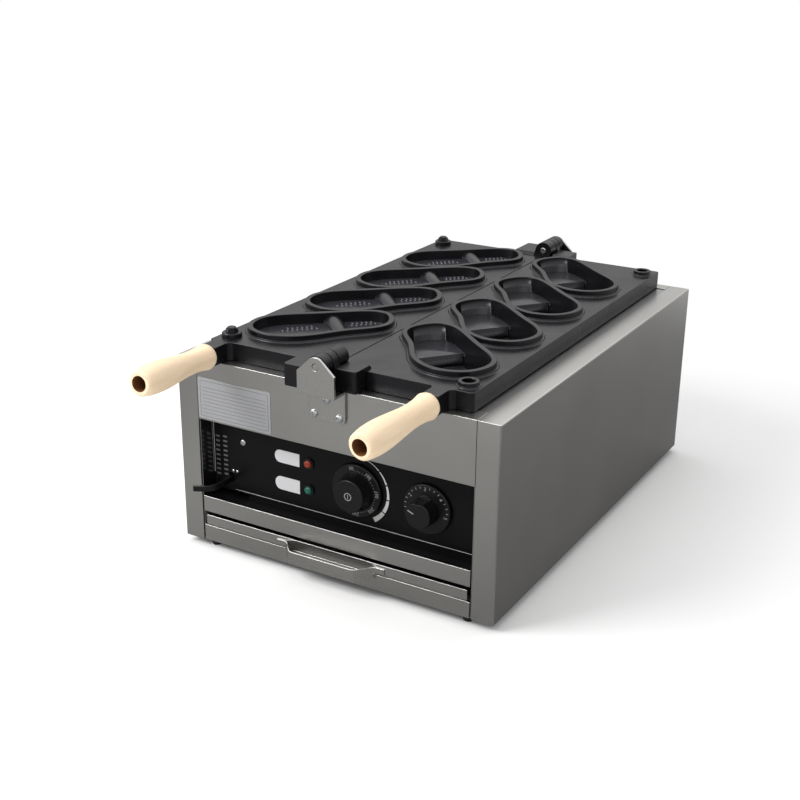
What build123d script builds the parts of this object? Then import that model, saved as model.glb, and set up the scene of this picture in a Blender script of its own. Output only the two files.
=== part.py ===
from build123d import *

import os
from math import cos, radians, sin, sqrt

# A countertop waffle maker with two hinged cast moulds, each for four shoe-shaped waffles.
# Millimetres. X runs to the right, Y to the back, Z up. The origin is on the surface that the
# feet stand on, below the middle of the whole machine.

os.makedirs("parts", exist_ok=True)

# Cabinet of folded stainless sheet
cabinet_width = 400.0
cabinet_depth = 555.0
cabinet_height = 222.5
sheet = 1.2
side_flange = 26.0
sheet_gap = 0.4
bend_radius = 1.8

# Rubber feet under the base plate
foot_height = 8.0
foot_radius = 7.0
foot_taper = 1.8
foot_inset_x = 35.0
foot_inset_y = 12.0
foot_screw_radius = 2.0
foot_head_radius = 4.0
foot_head_depth = 2.6
foot_nut_height = 3.2

# Front of the cabinet, measured up from the lower edge of the side panels
rail_bottom = 0.8
rail_top = 20.0
slot_top = 37.5
fascia_top = 56.5
apron_bottom = 151.0
recess_depth = 23.0
panel_bottom = 60.0
panel_overlap = 20.0
panel_thickness = 1.5
shelf_drop = 1.2
upstand_height = 20.0

# Deck that the moulds lie over, with one window above the heaters
window_half_width = 157.0
window_front = 30.0
window_back = 525.0

# Inner partition between the controls and the heaters
partition_depth = 90.0
partition_drop = 12.0

# Moulds
mould_count = 4
mould_setback = 14.0
mould_length = cabinet_depth - 2 * mould_setback
mould_half_width = 162.0
seam_gap = 1.0
plate_thickness = 20.5
skirt_depth = 6.0
skirt_width = 8.0
rest_gap = 0.4
rim_height = 7.5
rim_width = 6.0
rim_draft = 0.8
rim_foot_width = 3.2
rim_foot_height = 1.4
closing_gap = 0.3
casting_wall = 4.0
mould_corner_radius = 4.0

# Shoe sole outline, measured from the middle of the heel
sole_angle = 46.5
sole_pitch = 113.0
heel_x = 45.0
heel_y = 132.0
heel_end = 33.5
toe_end = 134.0
heel_half_width = 34.5
waist_half_width = 38.0
ball_half_width_outer = 45.0
ball_half_width_inner = 39.5

# Shallow cavities in the left mould, for the sole
sole_depth = 12.0
arch_place = 31.0
arch_wall_radius = 13.5
arch_tip_radius = 9.0
arch_wall = -44.0
arch_tip = 12.0
arch_sink = 3.5

# Deep cavities in the right mould, for the upper of the shoe
upper_depth = 34.0
cavity_draft = 4.0
heel_step = 15.0
heel_step_middle = 28.5
heel_step_bow = 5.0
heel_step_skew = 7.0
rib_radius = 2.4

# Locating pins in the left mould and their sockets in the right one
pin_x = 147.0
pin_inset_y = 18.0
pin_inset_back = 24.0
pin_radius = 5.5
pin_base_radius = 9.0
pin_base_height = 3.5
pin_reach = 5.0
pin_seat = 8.0
socket_radius = 11.0
socket_bore = 7.0
socket_floor = 6.0
socket_height = 5.5

# Knuckle hinge at each end of the seam
barrel_radius = 11.5
hinge_pin_radius = 4.0
running_clearance = 0.05
knuckle_gap = 1.0
outer_knuckle = 13.0
middle_knuckle = 10.0
inner_knuckle = 18.5
lug_width_left = 42.0
lug_width_right = 38.0
lug_rise = 4.0
lug_seat = 11.0
lug_step = 13.0
knuckle_reach = 33.5
notch_clearance = 0.9

# Hinge brackets of thick stainless strip
bracket_thickness = 3.0
bracket_half_width = 23.0
bracket_drop = 38.0
bracket_crown = 10.5
bracket_shoulder = 7.0
bracket_gap = 0.5
bracket_screw_x = 15.5
bracket_screw_low = 31.0
bracket_screw_high = 13.0
screw_radius = 2.5
screw_head_radius = 4.6
screw_head_height = 2.6
screw_clearance = 0.2
nut_height = 4.0
nut_radius = 4.6

# Handles: cast arm, steel rod, turned wooden grip and its nut
left_arm_x = 147.0
right_arm_x = 127.0
handle_toe_in = 3.3
left_handle_rise = 3.0
right_handle_rise = -2.0
arm_width = 19.0
arm_reach = 25.0
arm_fillet = 7.0
handle_gap = 3.0
handle_length = 116.0
handle_root_radius = 14.5
handle_waist_radius = 12.5
handle_belly_radius = 16.2
handle_tip_radius = 11.5
rod_radius = 5.0
rod_clearance = 0.2
rod_seat = 14.0
socket_hole_radius = 8.6
socket_hole_depth = 34.0
rod_nut_radius = 7.6
rod_nut_height = 7.0
rod_end = 4.0

# Crumb tray and its strip handle
tray_half_width = 165.0
tray_length = 480.0
tray_sheet = 1.0
tray_bottom = 21.0
tray_top = 33.0
tray_face_half_width = 168.5
tray_lift = 0.3
runner_width = 11.0
runner_height = 16.0
runner_front = 4.0
grip_half_width = 57.0
grip_forward = 18.0
grip_height = 15.0
grip_strip = 1.6
grip_slope = 16.0
grip_bottom = 14.0
grip_bend = 8.0

# Controls on the panel
knob_height = 101.5
temperature_x = 22.0
timer_x = 108.5
knob_standoff = 1.5
dial_radius = 31.0
dial_thickness = 3.0
hub_radius = 22.0
hub_front_radius = 18.5
hub_depth = 16.5
timer_dial_radius = 28.5
timer_hub_radius = 16.0
timer_hub_front_radius = 14.5
timer_hub_depth = 18.5
timer_scoop_radius = 30.0
timer_scoop_depth = 2.6
shaft_radius = 3.0
shaft_bore_depth = 12.0
body_bushing_radius = 5.0
thermostat_size = 42.0
thermostat_depth = 30.0
timer_size = 46.0
timer_depth = 34.0
lamp_x = -41.0
lamp_high = 118.0
lamp_low = 86.5
lamp_radius = 5.0
lamp_bezel_radius = 6.4
lamp_bezel_height = 2.0
lamp_length = 24.0
lens_radius = 4.4
lens_height = 3.0
panel_screw_x = -129.7
panel_screw_z = 123.0
panel_screw_radius = 2.0
panel_head_radius = 4.0
panel_head_height = 2.2
panel_spacer = 6.0

# Main switch lever at the left end of the panel
lever_x = -148.0
lever_z = 75.0
lever_height = 6.5
lever_thickness = 4.5
lever_reach = 22.0
lever_bend = 20.0
lever_bend_angle = 62.0
lever_tail = 9.0
lever_root = 9.0
lever_swing = 25.0
lever_pivot_radius = 2.0
lever_slot_clearance = 0.8
switch_width = 22.0
switch_height = 40.0
switch_depth = 26.0
switch_screw_x = 5.6
switch_screw_rise = 10.0
switch_screw_radius = 1.4
switch_head_radius = 1.9
switch_head_height = 1.4

# Tubular heaters under the moulds
heater_radius = 4.2
heater_drop = 20.5
heater_legs = 4
heater_first = 30.0
heater_pitch = 34.0
heater_turn = 12.0
heater_back = 508.0
heater_front = 104.0
heater_start = 68.0
heater_clearance = 0.3
fitting_radius = 8.0
fitting_height = 4.0
support_count = 3
support_width = 18.0
support_thickness = 2.0
support_tab = 16.0
bulb_radius = 3.0
bulb_length = 110.0
capillary_radius = 1.0
capillary_bend = 9.0

# Connection of the mains at the back
gland_x = -130.0
gland_z = 46.0
gland_radius = 9.0
gland_nut_radius = 12.0
gland_reach = 15.0
gland_bore = 4.5
terminal_width = 56.0
terminal_height = 18.0
terminal_depth = 16.0
terminal_x = -95.0
terminal_z = 60.0
terminal_bore = 2.2
vent_count = 7
vent_width = 70.0
vent_height = 4.0
vent_pitch = 12.0
vent_low = 70.0
vent_x = 90.0

# Places that follow from the sizes above
handle_tip = arm_reach - mould_setback + handle_gap + handle_length
bracket_depth_out = knuckle_reach - mould_setback + bracket_gap + bracket_thickness
front = (handle_tip - (cabinet_depth + bracket_depth_out)) / 2
back = front + cabinet_depth
ground = foot_height
half_cabinet = cabinet_width / 2
inner_edge = half_cabinet - side_flange
front_half_width = inner_edge - sheet_gap
liner_inner = front_half_width - sheet
deck_top = ground + cabinet_height - sheet
roof = ground + cabinet_height
plate_bottom = roof + rest_gap
plate_top = plate_bottom + plate_thickness
rim_top = plate_top + rim_height
axis_z = rim_top + closing_gap / 2
mould_front = front + mould_setback
mould_back = mould_front + mould_length
mould_middle = (mould_front + mould_back) / 2
handle_z = plate_bottom + plate_thickness / 2
panel_front = front + recess_depth
panel_back = panel_front + panel_thickness
knuckle_front = mould_front - knuckle_reach
arm_front = mould_front - arm_reach
handle_root = arm_front - handle_gap


def block(x0, x1, y0, y1, z0, z1):
    """A box between two corners."""
    middle = ((x0 + x1) / 2, (y0 + y1) / 2, (z0 + z1) / 2)
    return Pos(*middle) * Box(abs(x1 - x0), abs(y1 - y0), abs(z1 - z0))


def rod_y(x, z, y0, y1, radius):
    """A round bar along Y."""
    return Pos(x, (y0 + y1) / 2, z) * Rot(90, 0, 0) * Cylinder(radius, abs(y1 - y0))


def rod_x(y, z, x0, x1, radius):
    """A round bar along X."""
    return Pos((x0 + x1) / 2, y, z) * Rot(0, 90, 0) * Cylinder(radius, abs(x1 - x0))


def rod_z(x, y, z0, z1, radius):
    """An upright round bar."""
    return Pos(x, y, (z0 + z1) / 2) * Cylinder(radius, abs(z1 - z0))


def cone_y(x, z, y0, y1, radius0, radius1):
    """A tapered round bar along Y, radius0 at y0 and radius1 at y1."""
    bar = Cone(radius0, radius1, y1 - y0)
    return Pos(x, (y0 + y1) / 2, z) * Rot(-90, 0, 0) * bar


def hexagon_y(x, z, y0, y1, radius):
    """A hexagonal nut along Y."""
    face = Plane((x, y0, z), x_dir=(1, 0, 0), z_dir=(0, 1, 0)) * RegularPolygon(radius, 6)
    return extrude(face, y1 - y0)


def mirror_x(solid):
    """The same piece on the other side of the machine."""
    return mirror(solid, Plane.YZ)


def mirror_ends(solid):
    """The same piece at the other end of the moulds."""
    return mirror(solid, Plane.XZ.offset(-mould_middle))


# Cabinet

def right_side_panel():
    """Outer wall with a folded edge on all four sides, open towards the inside."""
    inside = half_cabinet - side_flange
    shell = block(inside, half_cabinet, front, back, ground, roof)
    outer = shell.edges().group_by(Axis.X)[-1]
    shell = fillet(outer, bend_radius)
    hollow = block(
        inside - 1, half_cabinet - sheet, front + sheet, back - sheet, ground + sheet, roof - sheet
    )
    return shell - hollow


def right_liner():
    """Flat inner wall that closes the side panel and keeps the heat in."""
    return block(
        liner_inner, front_half_width, front + sheet + sheet_gap, back - sheet - sheet_gap,
        ground + 2 * sheet, deck_top - sheet
    )


def deck():
    """Top sheet under the moulds, with a window over the heaters."""
    half = half_cabinet - sheet - sheet_gap
    plate = block(
        -half, half, front + sheet + sheet_gap, back - sheet - sheet_gap, deck_top - sheet, deck_top
    )
    window = block(
        -window_half_width, window_half_width, front + window_front, front + window_back,
        deck_top - 2 * sheet, roof
    )
    return plate - window


def front_apron():
    """Upper front sheet, with a lip over the deck and a lip that roofs the recess."""
    face = block(
        -front_half_width, front_half_width, front, front + sheet, ground + apron_bottom, roof
    )
    top_lip = block(
        -front_half_width, front_half_width, front, front + window_front - 6, roof - sheet, roof
    )
    low_lip = block(
        -liner_inner + sheet_gap, liner_inner - sheet_gap, front, panel_front,
        ground + apron_bottom, ground + apron_bottom + sheet
    )
    sheet_metal = face + top_lip + low_lip
    return sheet_metal - bracket_holes(front - 5, front + 5)


def lower_fascia():
    """Strip between the control recess and the crumb tray."""
    return block(
        -front_half_width + 2, front_half_width - 2, front, front + sheet,
        ground + slot_top, ground + fascia_top
    )


def control_shelf():
    """Floor of the recess, turned down behind the fascia and up behind the panel."""
    half = liner_inner - sheet_gap
    floor_top = ground + fascia_top - shelf_drop
    floor = block(-half, half, front + sheet, panel_back + sheet, floor_top - sheet, floor_top)
    turned_down = block(
        -half, half, front + sheet, front + 2 * sheet, ground + slot_top + 2, floor_top
    )
    turned_up = block(
        -half, half, panel_back, panel_back + sheet, floor_top - sheet,
        ground + panel_bottom + upstand_height - 6
    )
    lever_room = block(
        lever_x - switch_width, lever_x + switch_width, panel_back - 1, panel_back + 3,
        floor_top, ground + panel_bottom + upstand_height
    )
    return floor + turned_down + turned_up - lever_room


def control_panel():
    """Black panel at the back of the recess, with a hole for each control."""
    half = liner_inner - sheet_gap
    top = ground + apron_bottom + panel_overlap
    plate = block(-half, half, panel_front, panel_back, ground + panel_bottom, top)
    near = panel_front - 5
    far = panel_back + 5
    knob_z = ground + knob_height
    plate -= rod_y(temperature_x, knob_z, near, far, body_bushing_radius + screw_clearance)
    plate -= rod_y(timer_x, knob_z, near, far, body_bushing_radius + screw_clearance)
    for height in (lamp_high, lamp_low):
        plate -= rod_y(lamp_x, ground + height, near, far, lamp_radius + screw_clearance)
    plate -= rod_y(
        panel_screw_x, ground + panel_screw_z, near, far, panel_screw_radius + screw_clearance
    )
    for side in (0, 1):
        x = lever_x + switch_screw_x / 2 + side * switch_screw_x
        z = ground + lever_z + switch_screw_rise
        plate -= rod_y(x, z, near, far, switch_screw_radius + screw_clearance)
    return plate - lever_slot(near, far)


def bottom_rail():
    """Lowest front strip, below the crumb tray."""
    return block(
        -front_half_width + 2, front_half_width - 2, front, front + sheet,
        ground + rail_bottom, ground + rail_top
    )


def base_plate():
    """Floor sheet on the folded edges of the side panels, turned up behind the bottom rail."""
    half = half_cabinet - sheet - sheet_gap
    low = ground + sheet
    floor = block(-half, half, front + sheet, back - sheet, low, low + sheet)
    rail_half = front_half_width - 2
    turned_up = block(
        -rail_half, rail_half, front + sheet, front + 2 * sheet, low, ground + rail_top - 2
    )
    plate = floor + turned_up
    for x, y in foot_places():
        plate -= rod_z(x, y, low - 5, low + 5, foot_screw_radius + screw_clearance)
    return plate


def rear_panel():
    """Back sheet with vents and the hole for the mains gland."""
    half = front_half_width
    plate = block(-half, half, back - sheet, back, ground + sheet * 2 + sheet_gap, roof)
    lip = block(-half, half, back - 18, back, roof - sheet, roof)
    plate += lip
    near = back - 5
    far = back + 5
    for step in range(vent_count):
        z = ground + vent_low + step * vent_pitch
        for side in (-1, 1):
            x = side * vent_x
            plate -= block(x - vent_width / 2, x + vent_width / 2, near, far, z, z + vent_height)
    plate -= rod_y(gland_x, ground + gland_z, near, far, gland_radius + screw_clearance)
    return plate - mirror_ends(bracket_holes(front - 5, front + 5))


def partition():
    """Sheet that shuts the controls off from the heaters, above the crumb tray."""
    half = liner_inner
    y0 = front + partition_depth
    plate = block(-half, half, y0, y0 + sheet, ground + tray_top + 5, deck_top - partition_drop)
    for x in heater_ends():
        plate -= rod_y(x, heater_z(), y0 - 5, y0 + 5, heater_radius + heater_clearance)
    return plate - rod_y(0, heater_z(), y0 - 5, y0 + 5, capillary_radius + heater_clearance)


# Feet

def foot_places():
    """The four corners where a foot is screwed to the base plate."""
    x = half_cabinet - foot_inset_x
    near = front + foot_inset_y
    far = back - foot_inset_y
    return [(-x, near), (x, near), (-x, far), (x, far)]


def rubber_feet():
    """Four tapered feet, each with a pocket for the head of its screw."""
    feet = []
    top = ground + sheet
    for x, y in foot_places():
        body = Cone(foot_radius - foot_taper, foot_radius, top)
        foot = Pos(x, y, top / 2) * body
        pocket = rod_z(x, y, -1, foot_head_depth + 1.4, foot_head_radius + screw_clearance)
        bore = rod_z(x, y, 0, top + 1, foot_screw_radius + screw_clearance)
        feet.append(foot - pocket - bore)
    return Compound(feet)


def foot_screws():
    """Screws that hold the feet, with their nuts on the base plate."""
    screws = []
    seat = foot_head_depth + 1.4
    top = ground + 2 * sheet
    for x, y in foot_places():
        shank = rod_z(x, y, seat - 0.5, top + foot_nut_height + 1, foot_screw_radius)
        head = rod_z(x, y, seat - foot_head_depth, seat, foot_head_radius)
        nut = Pos(x, y, top) * extrude(RegularPolygon(foot_head_radius, 6), foot_nut_height)
        screws.append(shank + head + nut)
    return Compound(screws)


# Moulds

def sole_points(inset):
    """Points of the sole outline in its own axes, drawn in by inset along each normal."""
    inner = ball_half_width_inner
    outer = ball_half_width_outer
    heel = heel_half_width
    points = [
        (-heel_end, 0),
        (-0.3 * heel_end, heel),
        (0.23 * toe_end, waist_half_width),
        (0.54 * toe_end, outer),
        (0.89 * toe_end, 0.70 * outer),
        (toe_end, -0.10 * inner),
        (0.84 * toe_end, -0.92 * inner),
        (0.46 * toe_end, -inner + 0.5),
        (0.12 * toe_end, -heel - 0.5),
        (-0.68 * heel_end, -0.74 * heel),
    ]
    count = len(points)
    moved = []
    for index, (u, v) in enumerate(points):
        before = points[index - 1]
        after = points[(index + 1) % count]
        along = (after[0] - before[0], after[1] - before[1])
        length = sqrt(along[0] ** 2 + along[1] ** 2)
        moved.append((u - inset * -along[1] / length, v - inset * along[0] / length))
    return moved


def sole_face(inset, z):
    """Sole outline of the front cavity of the right mould, as a level face at height z."""
    angle = radians(-sole_angle)
    corners = []
    for u, v in sole_points(inset):
        x = heel_x + u * cos(angle) + v * sin(angle)
        y = mould_front + heel_y + u * sin(angle) - v * cos(angle)
        corners.append((x, y, z))
    edge = Spline(corners, periodic=True)
    return make_face(edge)


def sole_block(inset0, z0, inset1, z1):
    """Solid between two level sole outlines."""
    return loft([sole_face(inset0, z0), sole_face(inset1, z1)], ruled=True)


def sole_place(u, v):
    """Where a point of the sole's own axes lies in the front cavity of the right mould."""
    angle = radians(-sole_angle)
    x = heel_x + u * cos(angle) + v * sin(angle)
    y = mould_front + heel_y + u * sin(angle) - v * cos(angle)
    return x, y


def sole_rim():
    """Raised rim round a cavity, with a low step at its foot."""
    wall = sole_block(-rim_draft, plate_bottom + skirt_depth - 2, 0, rim_top)
    step = sole_block(-rim_foot_width, plate_top - 1, 0.8 - rim_foot_width, plate_top + rim_foot_height)
    return wall + step


def all_cavities(solid):
    """The front cavity's solid repeated along the mould."""
    return [Pos(0, step * sole_pitch, 0) * solid for step in range(mould_count)]


def mould_plate():
    """Right-hand plate with a shallow skirt under its edge."""
    x0 = seam_gap / 2
    x1 = mould_half_width
    plate = block(x0, x1, mould_front, mould_back, plate_bottom, plate_top)
    corners = plate.edges().filter_by(Axis.Z).group_by(Axis.X)[-1]
    plate = fillet(corners, mould_corner_radius)
    pocket = block(
        x0 + skirt_width, x1 - skirt_width, mould_front + skirt_width, mould_back - skirt_width,
        plate_bottom - 1, plate_bottom + skirt_depth
    )
    return plate - pocket


def aim(solid, x, rise):
    """Turn a right-hand handle piece, drawn straight to the front, to its own direction."""
    there = Pos(x, arm_front, handle_z)
    turn = Rot(0, 0, -handle_toe_in) * Rot(-rise, 0, 0)
    return there * turn * Pos(-x, -arm_front, -handle_z) * solid


def arm(x, rise):
    """Arm that carries a handle, blended into the front edge of the plate, and its rod hole."""
    half = arm_width / 2
    bar = block(x - half, x + half, arm_front - 3, mould_front + 10, plate_bottom, plate_top)
    ahead = block(
        x - 2 * half, x + 2 * half, arm_front - 10, arm_front, plate_bottom - 10, plate_top + 10
    )
    bar -= aim(ahead, x, rise)
    corner = block(
        x - half - arm_fillet, x + half + arm_fillet, mould_front - arm_fillet, mould_front + 5,
        plate_bottom, plate_top
    )
    corner &= block(0, mould_half_width, arm_front, mould_front + 5, plate_bottom, plate_top)
    for side in (-1, 1):
        cut = rod_z(
            x + side * (half + arm_fillet), mould_front - arm_fillet,
            plate_bottom - 1, plate_top + 1, arm_fillet
        )
        corner -= cut
    hole = rod_y(x, handle_z, arm_front - 1, arm_front + rod_seat, rod_radius)
    return bar + corner, aim(hole, x, rise)


def knuckle_span(index):
    """Front and back of one knuckle at the front hinge, counted from the outside."""
    lengths = (outer_knuckle, middle_knuckle, inner_knuckle)
    start = knuckle_front
    for length in lengths[:index]:
        start += length + knuckle_gap
    return start, start + lengths[index]


def knuckle(index):
    """Barrel with a short neck to the step of the right-hand lug."""
    y0, y1 = knuckle_span(index)
    plane = Plane((0, y0, 0), x_dir=(1, 0, 0), z_dir=(0, -1, 0))
    circle = Pos(0, axis_z) * Circle(barrel_radius)
    low = axis_z - barrel_radius - notch_clearance
    high = plate_top + lug_rise
    root = Pos(lug_step - 1, (low + high) / 2) * Rectangle(2, high - low)
    hull = make_hull(circle.edges() + root.edges())
    solid = extrude(plane * make_face(hull), -(y1 - y0))
    return solid - rod_y(0, axis_z, y0 - 1, y1 + 1, hinge_pin_radius + running_clearance)


def knuckles(indices):
    """One mould's knuckles at both hinges, made right-handed."""
    near = [knuckle(index) for index in indices]
    return near + [mirror_ends(solid) for solid in near]


def hinge_lug(width, y0):
    """Block let into the plate's corner, stepped down where the knuckles of both moulds turn."""
    y1 = mould_front + lug_seat
    low = axis_z - barrel_radius - notch_clearance
    pad = block(seam_gap / 2, width, y0, y1, plate_bottom, plate_top + lug_rise)
    rear_edge = pad.edges().filter_by(Axis.X).group_by(Axis.Y)[-1].sort_by(Axis.Z)[-1]
    pad = chamfer(rear_edge, lug_rise - 0.5)
    outer_edge = pad.edges().filter_by(Axis.Z).group_by(Axis.X)[-1].sort_by(Axis.Y)[0]
    pad = fillet(outer_edge, 3)
    return pad - block(0, lug_step, y0 - 1, y1 + 1, low, plate_top + 20)


def hinge_lugs(width, y0):
    """One mould's lugs at both hinges, made right-handed."""
    lug = hinge_lug(width, y0)
    return [lug, mirror_ends(lug)]


def lug_pocket(width):
    """Corners cut out of the plate where the lugs sit."""
    pocket = block(
        0, width, mould_front - 1, mould_front + lug_seat, plate_bottom - 1, plate_top + 20
    )
    return [pocket, mirror_ends(pocket)]


def pin_places():
    """Where the locating pins and sockets are, on the right-hand side."""
    return [(pin_x, mould_front + pin_inset_y), (pin_x, mould_back - pin_inset_back)]


def arch_hump(floor):
    """Raised hump from the outer wall to the middle, which gives the waffle's sole its arch."""
    length = arch_tip - arch_wall
    x, y = sole_place(arch_place, (arch_tip + arch_wall) / 2)
    taper = Cone(arch_wall_radius, arch_tip_radius, length)
    ridge = Pos(x, y, floor - arch_sink) * Rot(0, 0, -sole_angle) * Rot(90, 0, 0) * taper
    tip_x, tip_y = sole_place(arch_place, arch_tip)
    ridge += Pos(tip_x, tip_y, floor - arch_sink) * Sphere(arch_tip_radius)
    within = sole_block(rim_width + 2, floor - 2, rim_width + 0.5, rim_top - 1)
    return ridge & within


def heel_floor(floor, draft):
    """Raised heel of a deep cavity: a gently curved step and a rib where it meets the wall."""
    reach = ball_half_width_outer
    near = sole_place(heel_step_middle + heel_step_skew, reach)
    middle = sole_place(heel_step_middle, 0)
    far = sole_place(heel_step_middle - heel_step_skew + heel_step_bow / 2, -reach)
    back_far = sole_place(-1.5 * heel_end, -reach)
    back_near = sole_place(-1.5 * heel_end, reach)
    curve = ThreePointArc(near, middle, far)
    sides = Polyline(far, back_far, back_near, near)
    level = Pos(0, 0, floor - 1) * make_face([curve, sides])
    solid = extrude(level, heel_step + 1)
    rib_x, rib_y = sole_place(heel_step_middle - 4.2, -27)
    solid += rod_z(rib_x, rib_y, floor - 1, floor + heel_step, rib_radius)
    return solid & sole_block(draft, floor - 0.5, draft - 2.5, floor + heel_step + 5)


def left_mould():
    """Casting with four shallow sole cavities, made right-handed and mirrored."""
    floor = rim_top - sole_depth
    beam, rod_hole = arm(left_arm_x, left_handle_rise)
    hollow = sole_block(rim_width + 1.5, floor, rim_width, rim_top + 0.01) - arch_hump(floor)
    body = mould_plate() + beam + all_cavities(sole_rim())
    body = body - rod_hole - lug_pocket(lug_width_left) - all_cavities(hollow)
    for x, y in pin_places():
        base = Cone(pin_base_radius + 1, pin_base_radius, pin_base_height)
        body += Pos(x, y, plate_top + pin_base_height / 2) * base
        body -= rod_z(x, y, plate_top + pin_base_height - pin_seat, rim_top, pin_radius)
    return mirror_x(body)


def right_mould():
    """Casting with four deep cavities that hang below the plate as bowls."""
    floor = rim_top - upper_depth
    beam, rod_hole = arm(right_arm_x, right_handle_rise)
    skin = rim_width - casting_wall
    bowl = sole_block(skin + cavity_draft, floor - casting_wall, skin, plate_top - 2)
    deep = rim_width + cavity_draft
    hollow = sole_block(deep, floor, rim_width, rim_top + 0.01) - heel_floor(floor, deep)
    body = mould_plate() + beam + all_cavities(bowl) + all_cavities(sole_rim())
    body = body - rod_hole - lug_pocket(lug_width_right) - all_cavities(hollow)
    for x, y in pin_places():
        body += rod_z(x, y, plate_top - 1, plate_top + 1.2, socket_radius + 2)
        body += rod_z(x, y, plate_top, plate_top + socket_height, socket_radius)
        body -= rod_z(x, y, plate_bottom + socket_floor, rim_top + 5, socket_bore)
    return body


def locating_pins():
    """Two turned pins pressed into the bosses of the left mould."""
    pins = []
    for x, y in pin_places():
        seat = plate_top + pin_base_height - pin_seat
        tip = axis_z + pin_reach
        pin = rod_z(x, y, seat, tip, pin_radius)
        tip_edge = pin.edges().group_by(Axis.Z)[-1]
        pins.append(mirror_x(chamfer(tip_edge, 1.5)))
    return Compound(pins)


# Hinge pins and brackets

def bracket_screw_places():
    """Three screw places on the front of the cabinet, below the hinge."""
    return [
        (-bracket_screw_x, roof - bracket_screw_low),
        (bracket_screw_x, roof - bracket_screw_low),
        (0, roof - bracket_screw_high),
    ]


def bracket_holes(y0, y1):
    """Clearance holes for the bracket screws."""
    holes = None
    for x, z in bracket_screw_places():
        hole = rod_y(x, z, y0, y1, screw_radius + screw_clearance)
        holes = hole if holes is None else holes + hole
    return holes


def front_hinge_bracket():
    """Strip bent to a Z: screwed to the apron, forward under the lugs, then up to the pin."""
    half = bracket_half_width
    face_back = knuckle_front - bracket_gap
    face_front = face_back - bracket_thickness
    foot = block(-half, half, front - bracket_thickness, front, roof - bracket_drop, roof)
    low_edges = foot.edges().filter_by(Axis.Y).group_by(Axis.Z)[0]
    foot = fillet(low_edges, 6)
    shelf = block(-half, half, face_front, front, roof - bracket_thickness, roof)
    shoulder = axis_z - bracket_shoulder
    plane = Plane((0, face_back, 0), x_dir=(1, 0, 0), z_dir=(0, -1, 0))
    plate = Pos(0, (roof - bracket_thickness + shoulder) / 2) * Rectangle(
        2 * half, shoulder - roof + bracket_thickness
    )
    crown = Pos(0, axis_z) * Circle(bracket_crown)
    outline = make_face(make_hull(crown.edges() + plate.edges()))
    upright = extrude(plane * outline, bracket_thickness)
    body = foot + shelf + upright
    body -= rod_y(0, axis_z, face_front - 5, face_back + 5, hinge_pin_radius)
    return body - bracket_holes(front - 10, front + 5)


def front_hinge_pin():
    """Axle held in the bracket, through the three knuckles."""
    face_front = knuckle_front - bracket_gap - bracket_thickness
    end = knuckle_span(2)[1]
    pin = rod_y(0, axis_z, face_front + 0.6, end + 1, hinge_pin_radius)
    ends = pin.edges().group_by(Axis.Y)
    return chamfer(ends[0] + ends[-1], 0.6)


def bracket_screws():
    """Three pan-head screws of one bracket, with their nuts behind the sheet."""
    screws = []
    for x, z in bracket_screw_places():
        head_back = front - bracket_thickness
        head = rod_y(x, z, head_back - screw_head_height, head_back, screw_head_radius)
        rim = head.edges().group_by(Axis.Y)[0]
        head = fillet(rim, 1.6)
        shank = rod_y(x, z, head_back - 1, front + sheet + nut_height + 2, screw_radius)
        nut = hexagon_y(x, z, front + sheet, front + sheet + nut_height, nut_radius)
        screws.append(head + shank + nut)
    return screws


# Handles

def wooden_handle(x, rise):
    """Turned grip: flared root, slim waist, full belly and a rounded open end."""
    root = handle_root
    tip = root - handle_length
    profile = [
        (handle_root_radius - 1, root),
        (handle_root_radius, root - 4),
        (handle_waist_radius, root - 0.32 * handle_length),
        (handle_belly_radius, root - 0.80 * handle_length),
        (handle_tip_radius + 2.6, tip + 3),
        (handle_tip_radius, tip),
    ]
    plane = Plane((x, 0, handle_z), x_dir=(1, 0, 0), z_dir=(0, 0, 1))
    start = Line(profile[0], profile[1])
    curve = Spline(profile[1:-1])
    close = Line(profile[-2], profile[-1])
    inside = Polyline(profile[-1], (0, tip), (0, root), profile[0])
    face = make_face([start, curve, close, inside])
    body = revolve(plane * face, Axis((x, 0, handle_z), (0, 1, 0)), 360)
    body -= rod_y(x, handle_z, tip - 1, root + 1, rod_radius + rod_clearance)
    body -= rod_y(x, handle_z, tip - 1, tip + socket_hole_depth, socket_hole_radius)
    return aim(body, x, rise)


def handle_rod(x, rise):
    """Steel rod screwed into the arm, through the grip to its nut."""
    tip = handle_root - handle_length
    end = tip + socket_hole_depth - rod_nut_height - rod_end
    return aim(rod_y(x, handle_z, end, arm_front + rod_seat, rod_radius), x, rise)


def handle_nut(x, rise):
    """Nut at the bottom of the bore in the grip's end."""
    seat = handle_root - handle_length + socket_hole_depth
    nut = hexagon_y(x, handle_z, seat - rod_nut_height, seat, rod_nut_radius)
    nut -= rod_y(x, handle_z, seat - rod_nut_height - 1, seat + 1, rod_radius)
    return aim(nut, x, rise)


def handle_collar(x, rise):
    """Washer between the arm and the root of the grip."""
    ring = rod_y(x, handle_z, handle_root, arm_front, handle_waist_radius - 1.5)
    ring -= rod_y(x, handle_z, handle_root - 1, arm_front + 1, rod_radius + rod_clearance)
    return aim(ring, x, rise)


# Crumb tray

def crumb_tray():
    """Shallow pan whose front wall shows in the slot."""
    y0 = front
    y1 = front + tray_length
    low = ground + tray_bottom
    high = ground + tray_top
    pan = block(-tray_half_width, tray_half_width, y0 + 0.2, y1, low, high)
    hollow = block(
        -tray_half_width + tray_sheet, tray_half_width - tray_sheet, y0 + sheet, y1 - tray_sheet,
        low + tray_sheet, high + 1
    )
    face = block(
        -tray_face_half_width, tray_face_half_width, y0, y0 + sheet, low, high
    )
    return pan - hollow + face


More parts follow.
